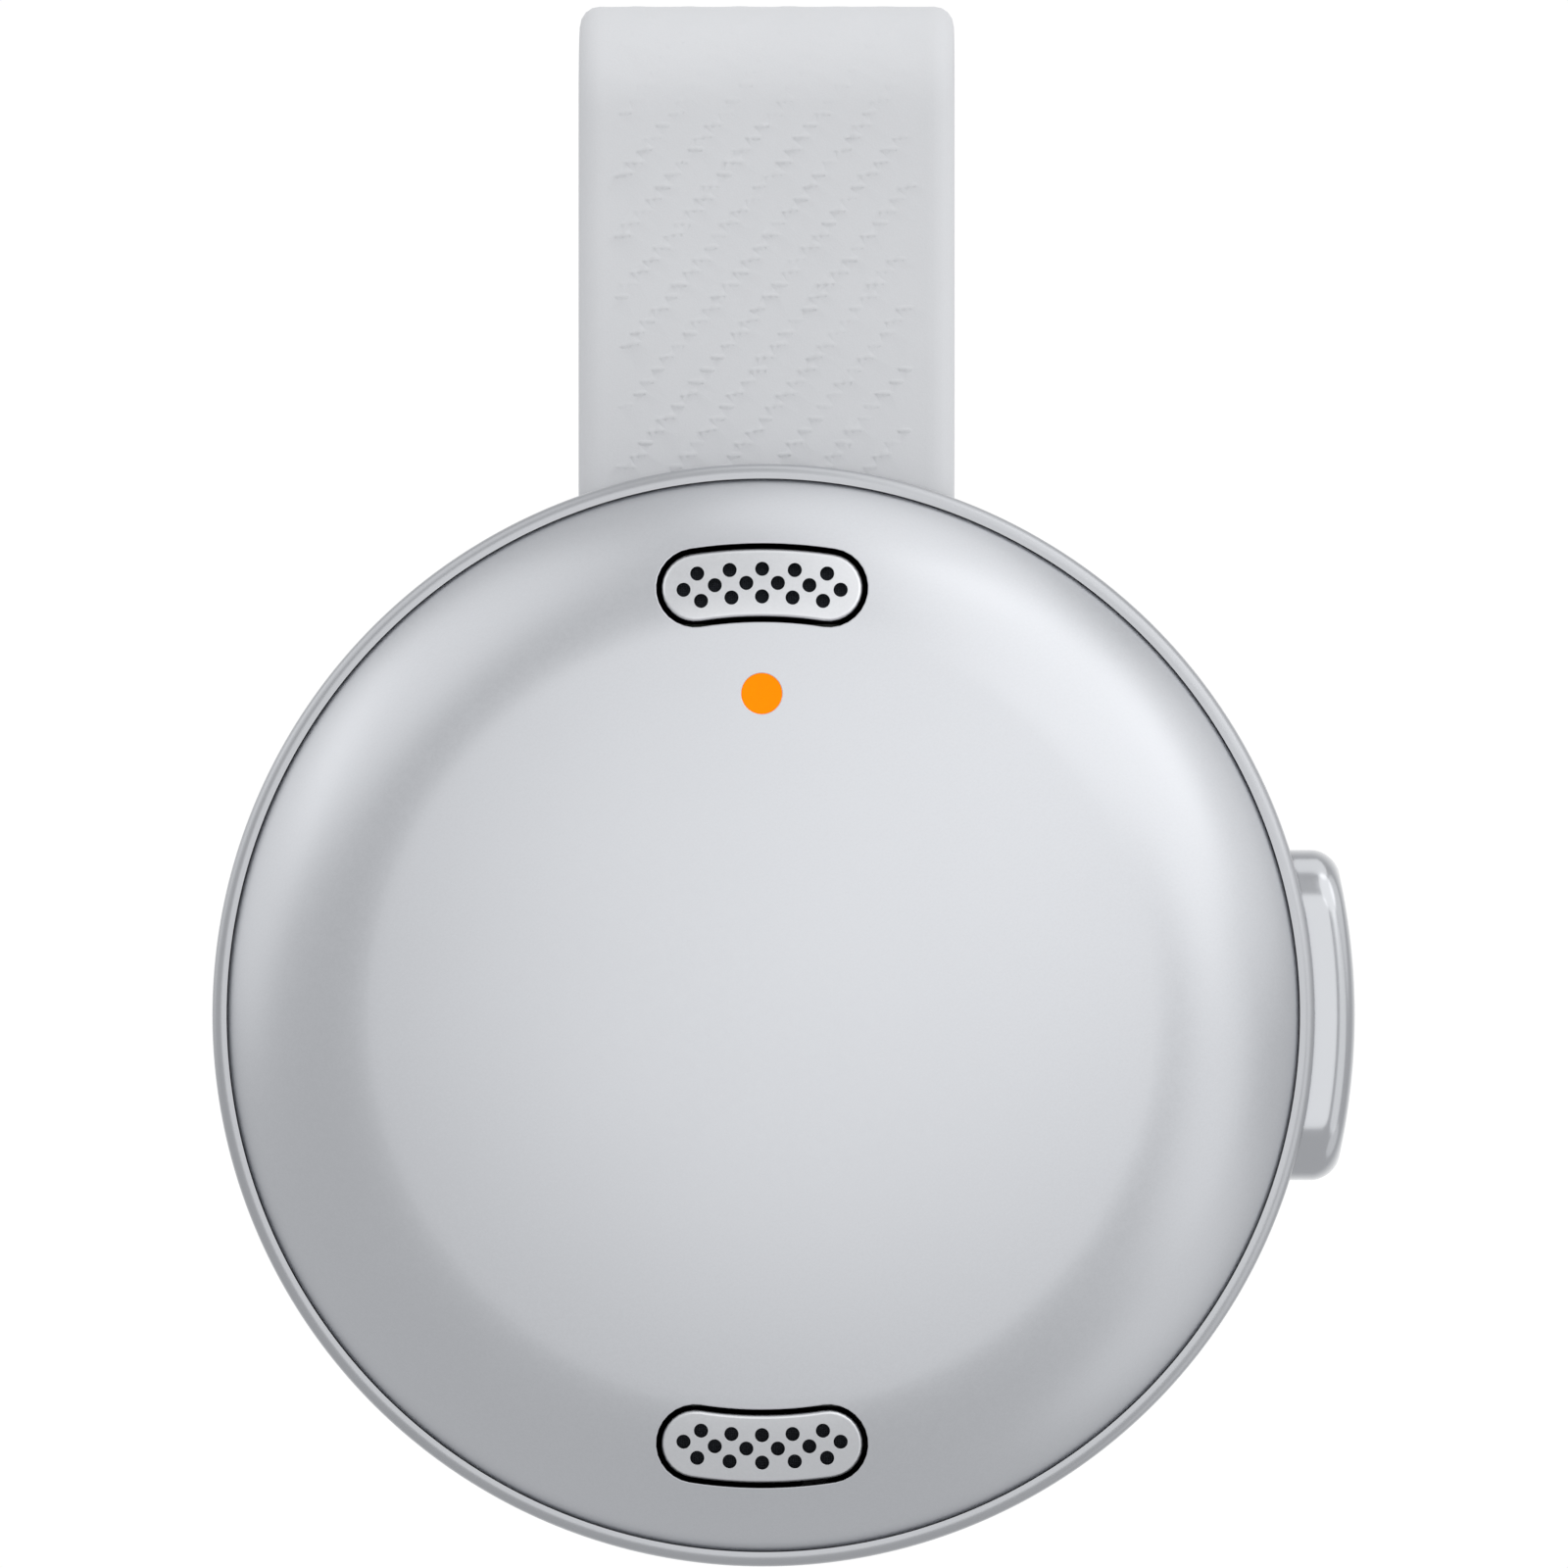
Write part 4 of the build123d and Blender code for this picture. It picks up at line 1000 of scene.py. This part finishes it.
materials = {
    "satin_metal": finish_of(
        "satin_metal", tint(0.695, 0.05), tint(0.715, 0.05), (0.35, 0.39), 0.07, 0.00012, 1.0,
        pattern="flakes", blotch=9.0),
    "ring_metal": finish_of(
        "ring_metal", tint(0.55, 0.05), tint(0.58, 0.05), (0.34, 0.38), 0.05, 0.00012, 1.0),
    "grille_metal": finish_of(
        "grille_metal", tint(0.83, 0.03), tint(0.85, 0.03), (0.35, 0.39), 0.07, 0.00012, 1.0,
        pattern="flakes"),
    "key_metal": finish_of(
        "key_metal", tint(0.60, 0.05), tint(0.62, 0.05), (0.18, 0.21), 0.05, 0.0001, 1.0),
    "strap_elastomer": finish_of(
        "strap_elastomer", tint(0.77, 0.03), tint(0.80, 0.03), (0.62, 0.74), 0.07, 0.004,
        blotch=5.0, Specular_IOR_Level=0.35),
    "grey_plastic": finish_of(
        "grey_plastic", tint(0.40, 0.05), tint(0.44, 0.05), (0.42, 0.55), 0.12, 0.006),
    "dark_plastic": finish_of(
        "dark_plastic", tint(0.05), tint(0.06), (0.45, 0.6), 0.1, 0.006),
    "light_pipe": finish_of(
        "light_pipe", (0.8, 0.13, 0.0), (0.85, 0.16, 0.0), (0.4, 0.5), 0.2, 0.002,
        Specular_IOR_Level=0.05, Emission_Color=(1.0, 0.22, 0.0, 1), Emission_Strength=0.8),
    "spring_steel": finish_of(
        "spring_steel", tint(0.42), tint(0.5), (0.25, 0.4), 0.08, 0.001, 1.0, stretch=(1, 0.04, 0.04)),
    "screw_steel": finish_of(
        "screw_steel", tint(0.46), tint(0.54), (0.24, 0.36), 0.06, 0.001, 1.0, stretch=(1, 1, 0.15)),
    "contact_steel": finish_of(
        "contact_steel", tint(0.6), tint(0.68), (0.14, 0.24), 0.1, 0.0006, 1.0),
    "circuit_board": finish_of(
        "circuit_board", (0.004, 0.05, 0.025), (0.008, 0.08, 0.04), (0.22, 0.34), 0.35, 0.004,
        pattern="flakes"),
    "chip_package": finish_of(
        "chip_package", tint(0.008), tint(0.014), (0.5, 0.65), 0.08, 0.004),
    "ceramic": finish_of(
        "ceramic", (0.36, 0.27, 0.15), (0.42, 0.32, 0.19), (0.5, 0.62), 0.1, 0.003),
    "cell_foil": finish_of(
        "cell_foil", tint(0.52), tint(0.6), (0.26, 0.4), 0.5, 0.01, 1.0),
    "foam": finish_of(
        "foam", tint(0.006), tint(0.02), (0.85, 0.95), 0.18, 0.04, pattern="flakes"),
    "tape": finish_of(
        "tape", (0.66, 0.62, 0.48), (0.72, 0.68, 0.54), (0.4, 0.55), 0.3, 0.004),
    "lead_insulation": finish_of(
        "lead_insulation", (0.36, 0.004, 0.003), (0.44, 0.006, 0.004), (0.4, 0.5), 0.1, 0.002),
    "flex_circuit": finish_of(
        "flex_circuit", (0.24, 0.075, 0.008), (0.32, 0.1, 0.012), (0.25, 0.4), 0.4, 0.004,
        pattern="flakes"),
    "acoustic_mesh": finish_of(
        "acoustic_mesh", tint(0.01, 0.3), tint(0.03, 0.3), (0.7, 0.8), 0.09, 0.02, pattern="threads",
        Specular_IOR_Level=0.1),
    "seal_rubber": finish_of(
        "seal_rubber", tint(0.012), tint(0.018), (0.6, 0.72), 0.1, 0.004),
    "film_cone": finish_of(
        "film_cone", tint(0.03), tint(0.04), (0.2, 0.32), 0.4, 0.004),
}

for row in frame["record"]["subparts"]:
    node = frame["nodes"][row["node"]]
    node.data.materials.clear()
    node.data.materials.append(materials[row["material_slot"]])

# ------------------------------------------------------------------ pieces

build_front_cover(materials["satin_metal"])
build_grille("upper_grille_plate", 90, "upper_grille", materials["grille_metal"])
build_grille("lower_grille_plate", 270, "lower_grille", materials["grille_metal"])
build_ring(materials["ring_metal"])
build_side_key(materials["key_metal"])
build_strap(materials["strap_elastomer"], materials["spring_steel"])

# ------------------------------------------------------------------ camera, light and stage

view_width = 62.63 * MM
distance = 1.8
cam = bpy.data.cameras.new("camera")
cam.sensor_width = 36
cam.lens = cam.sensor_width * distance / view_width
camera = bpy.data.objects.new("camera", cam)
bpy.context.scene.collection.objects.link(camera)
yaw = math.radians(0.8)
target = Vector((0.80, -6.0, 9.23)) * MM
camera.location = target + Vector((math.sin(yaw), -math.cos(yaw), 0)) * distance
camera.rotation_euler = (math.pi / 2, 0, yaw)
cam.clip_end = 10
bpy.context.scene.camera = camera


def build_sky(front, rear):
    """A plain studio around the object: darker on the camera's side, pale behind the object."""
    world = bpy.data.worlds.new("studio")
    world.use_nodes = True
    nodes, links = world.node_tree.nodes, world.node_tree.links
    direction = nodes.new("ShaderNodeSeparateXYZ")
    links.new(nodes.new("ShaderNodeTexCoord").outputs["Generated"], direction.inputs["Vector"])
    tone = ramp(nodes, links, direction.outputs["Y"], tint(front, 0.03), tint(rear), 0.45, 0.95)
    links.new(tone, nodes["Background"].inputs["Color"])
    bpy.context.scene.world = world


def softbox(name, turn, tilt, size, power, reach=0.7):
    """A round soft light, turn degrees round the view line from the right and tilt degrees off it."""
    light = bpy.data.lights.new(name, "AREA")
    light.shape = "DISK"
    light.size = size
    light.energy = power
    o = bpy.data.objects.new(name, light)
    bpy.context.scene.collection.objects.link(o)
    a, t = math.radians(turn), math.radians(tilt)
    d = Vector((math.cos(a) * math.sin(t), -math.cos(t), math.sin(a) * math.sin(t)))
    o.location = d * reach
    o.rotation_euler = d.to_track_quat("Z", "Y").to_euler()
    o.visible_camera = False


def build_floor(height):
    """A plain pale floor, below the object and out of the camera's view. Reflections leave it out."""
    mesh = bpy.data.meshes.new("floor")
    reach = 1.2
    corners = [(-reach, -reach), (reach, -reach), (reach, reach), (-reach, reach)]
    mesh.from_pydata([(x, y, height * MM) for x, y in corners], [], [(0, 1, 2, 3)])
    mesh.materials.append(finish_of("floor", tint(0.80), tint(0.82), (0.7, 0.8), 4.0, 0.02, blotch=80))
    floor = bpy.data.objects.new("floor", mesh)
    bpy.context.scene.collection.objects.link(floor)
    floor.visible_glossy = False
    floor.visible_diffuse = False
    floor.visible_shadow = False


build_sky(0.54, 1.02)
build_floor(-85)
# Soft light from the upper right, with weaker light from the left, from above and from the rim's sides
softbox("camera_side_light", 60, 7, 0.6, 0.52)
softbox("upper_right_light", 45, 55, 0.8, 1.1)
softbox("right_light", 350, 58, 0.5, 0.25)
softbox("top_light", 75, 88, 0.6, 0.45)
softbox("right_edge_light", 25, 88, 0.6, 0.3)
softbox("upper_left_light", 135, 76, 0.7, 0.48)
softbox("left_edge_light", 160, 98, 0.6, 0.3)
softbox("lower_right_light", 325, 84, 0.5, 0.15)
bpy.context.scene.view_settings.view_transform = "Standard"
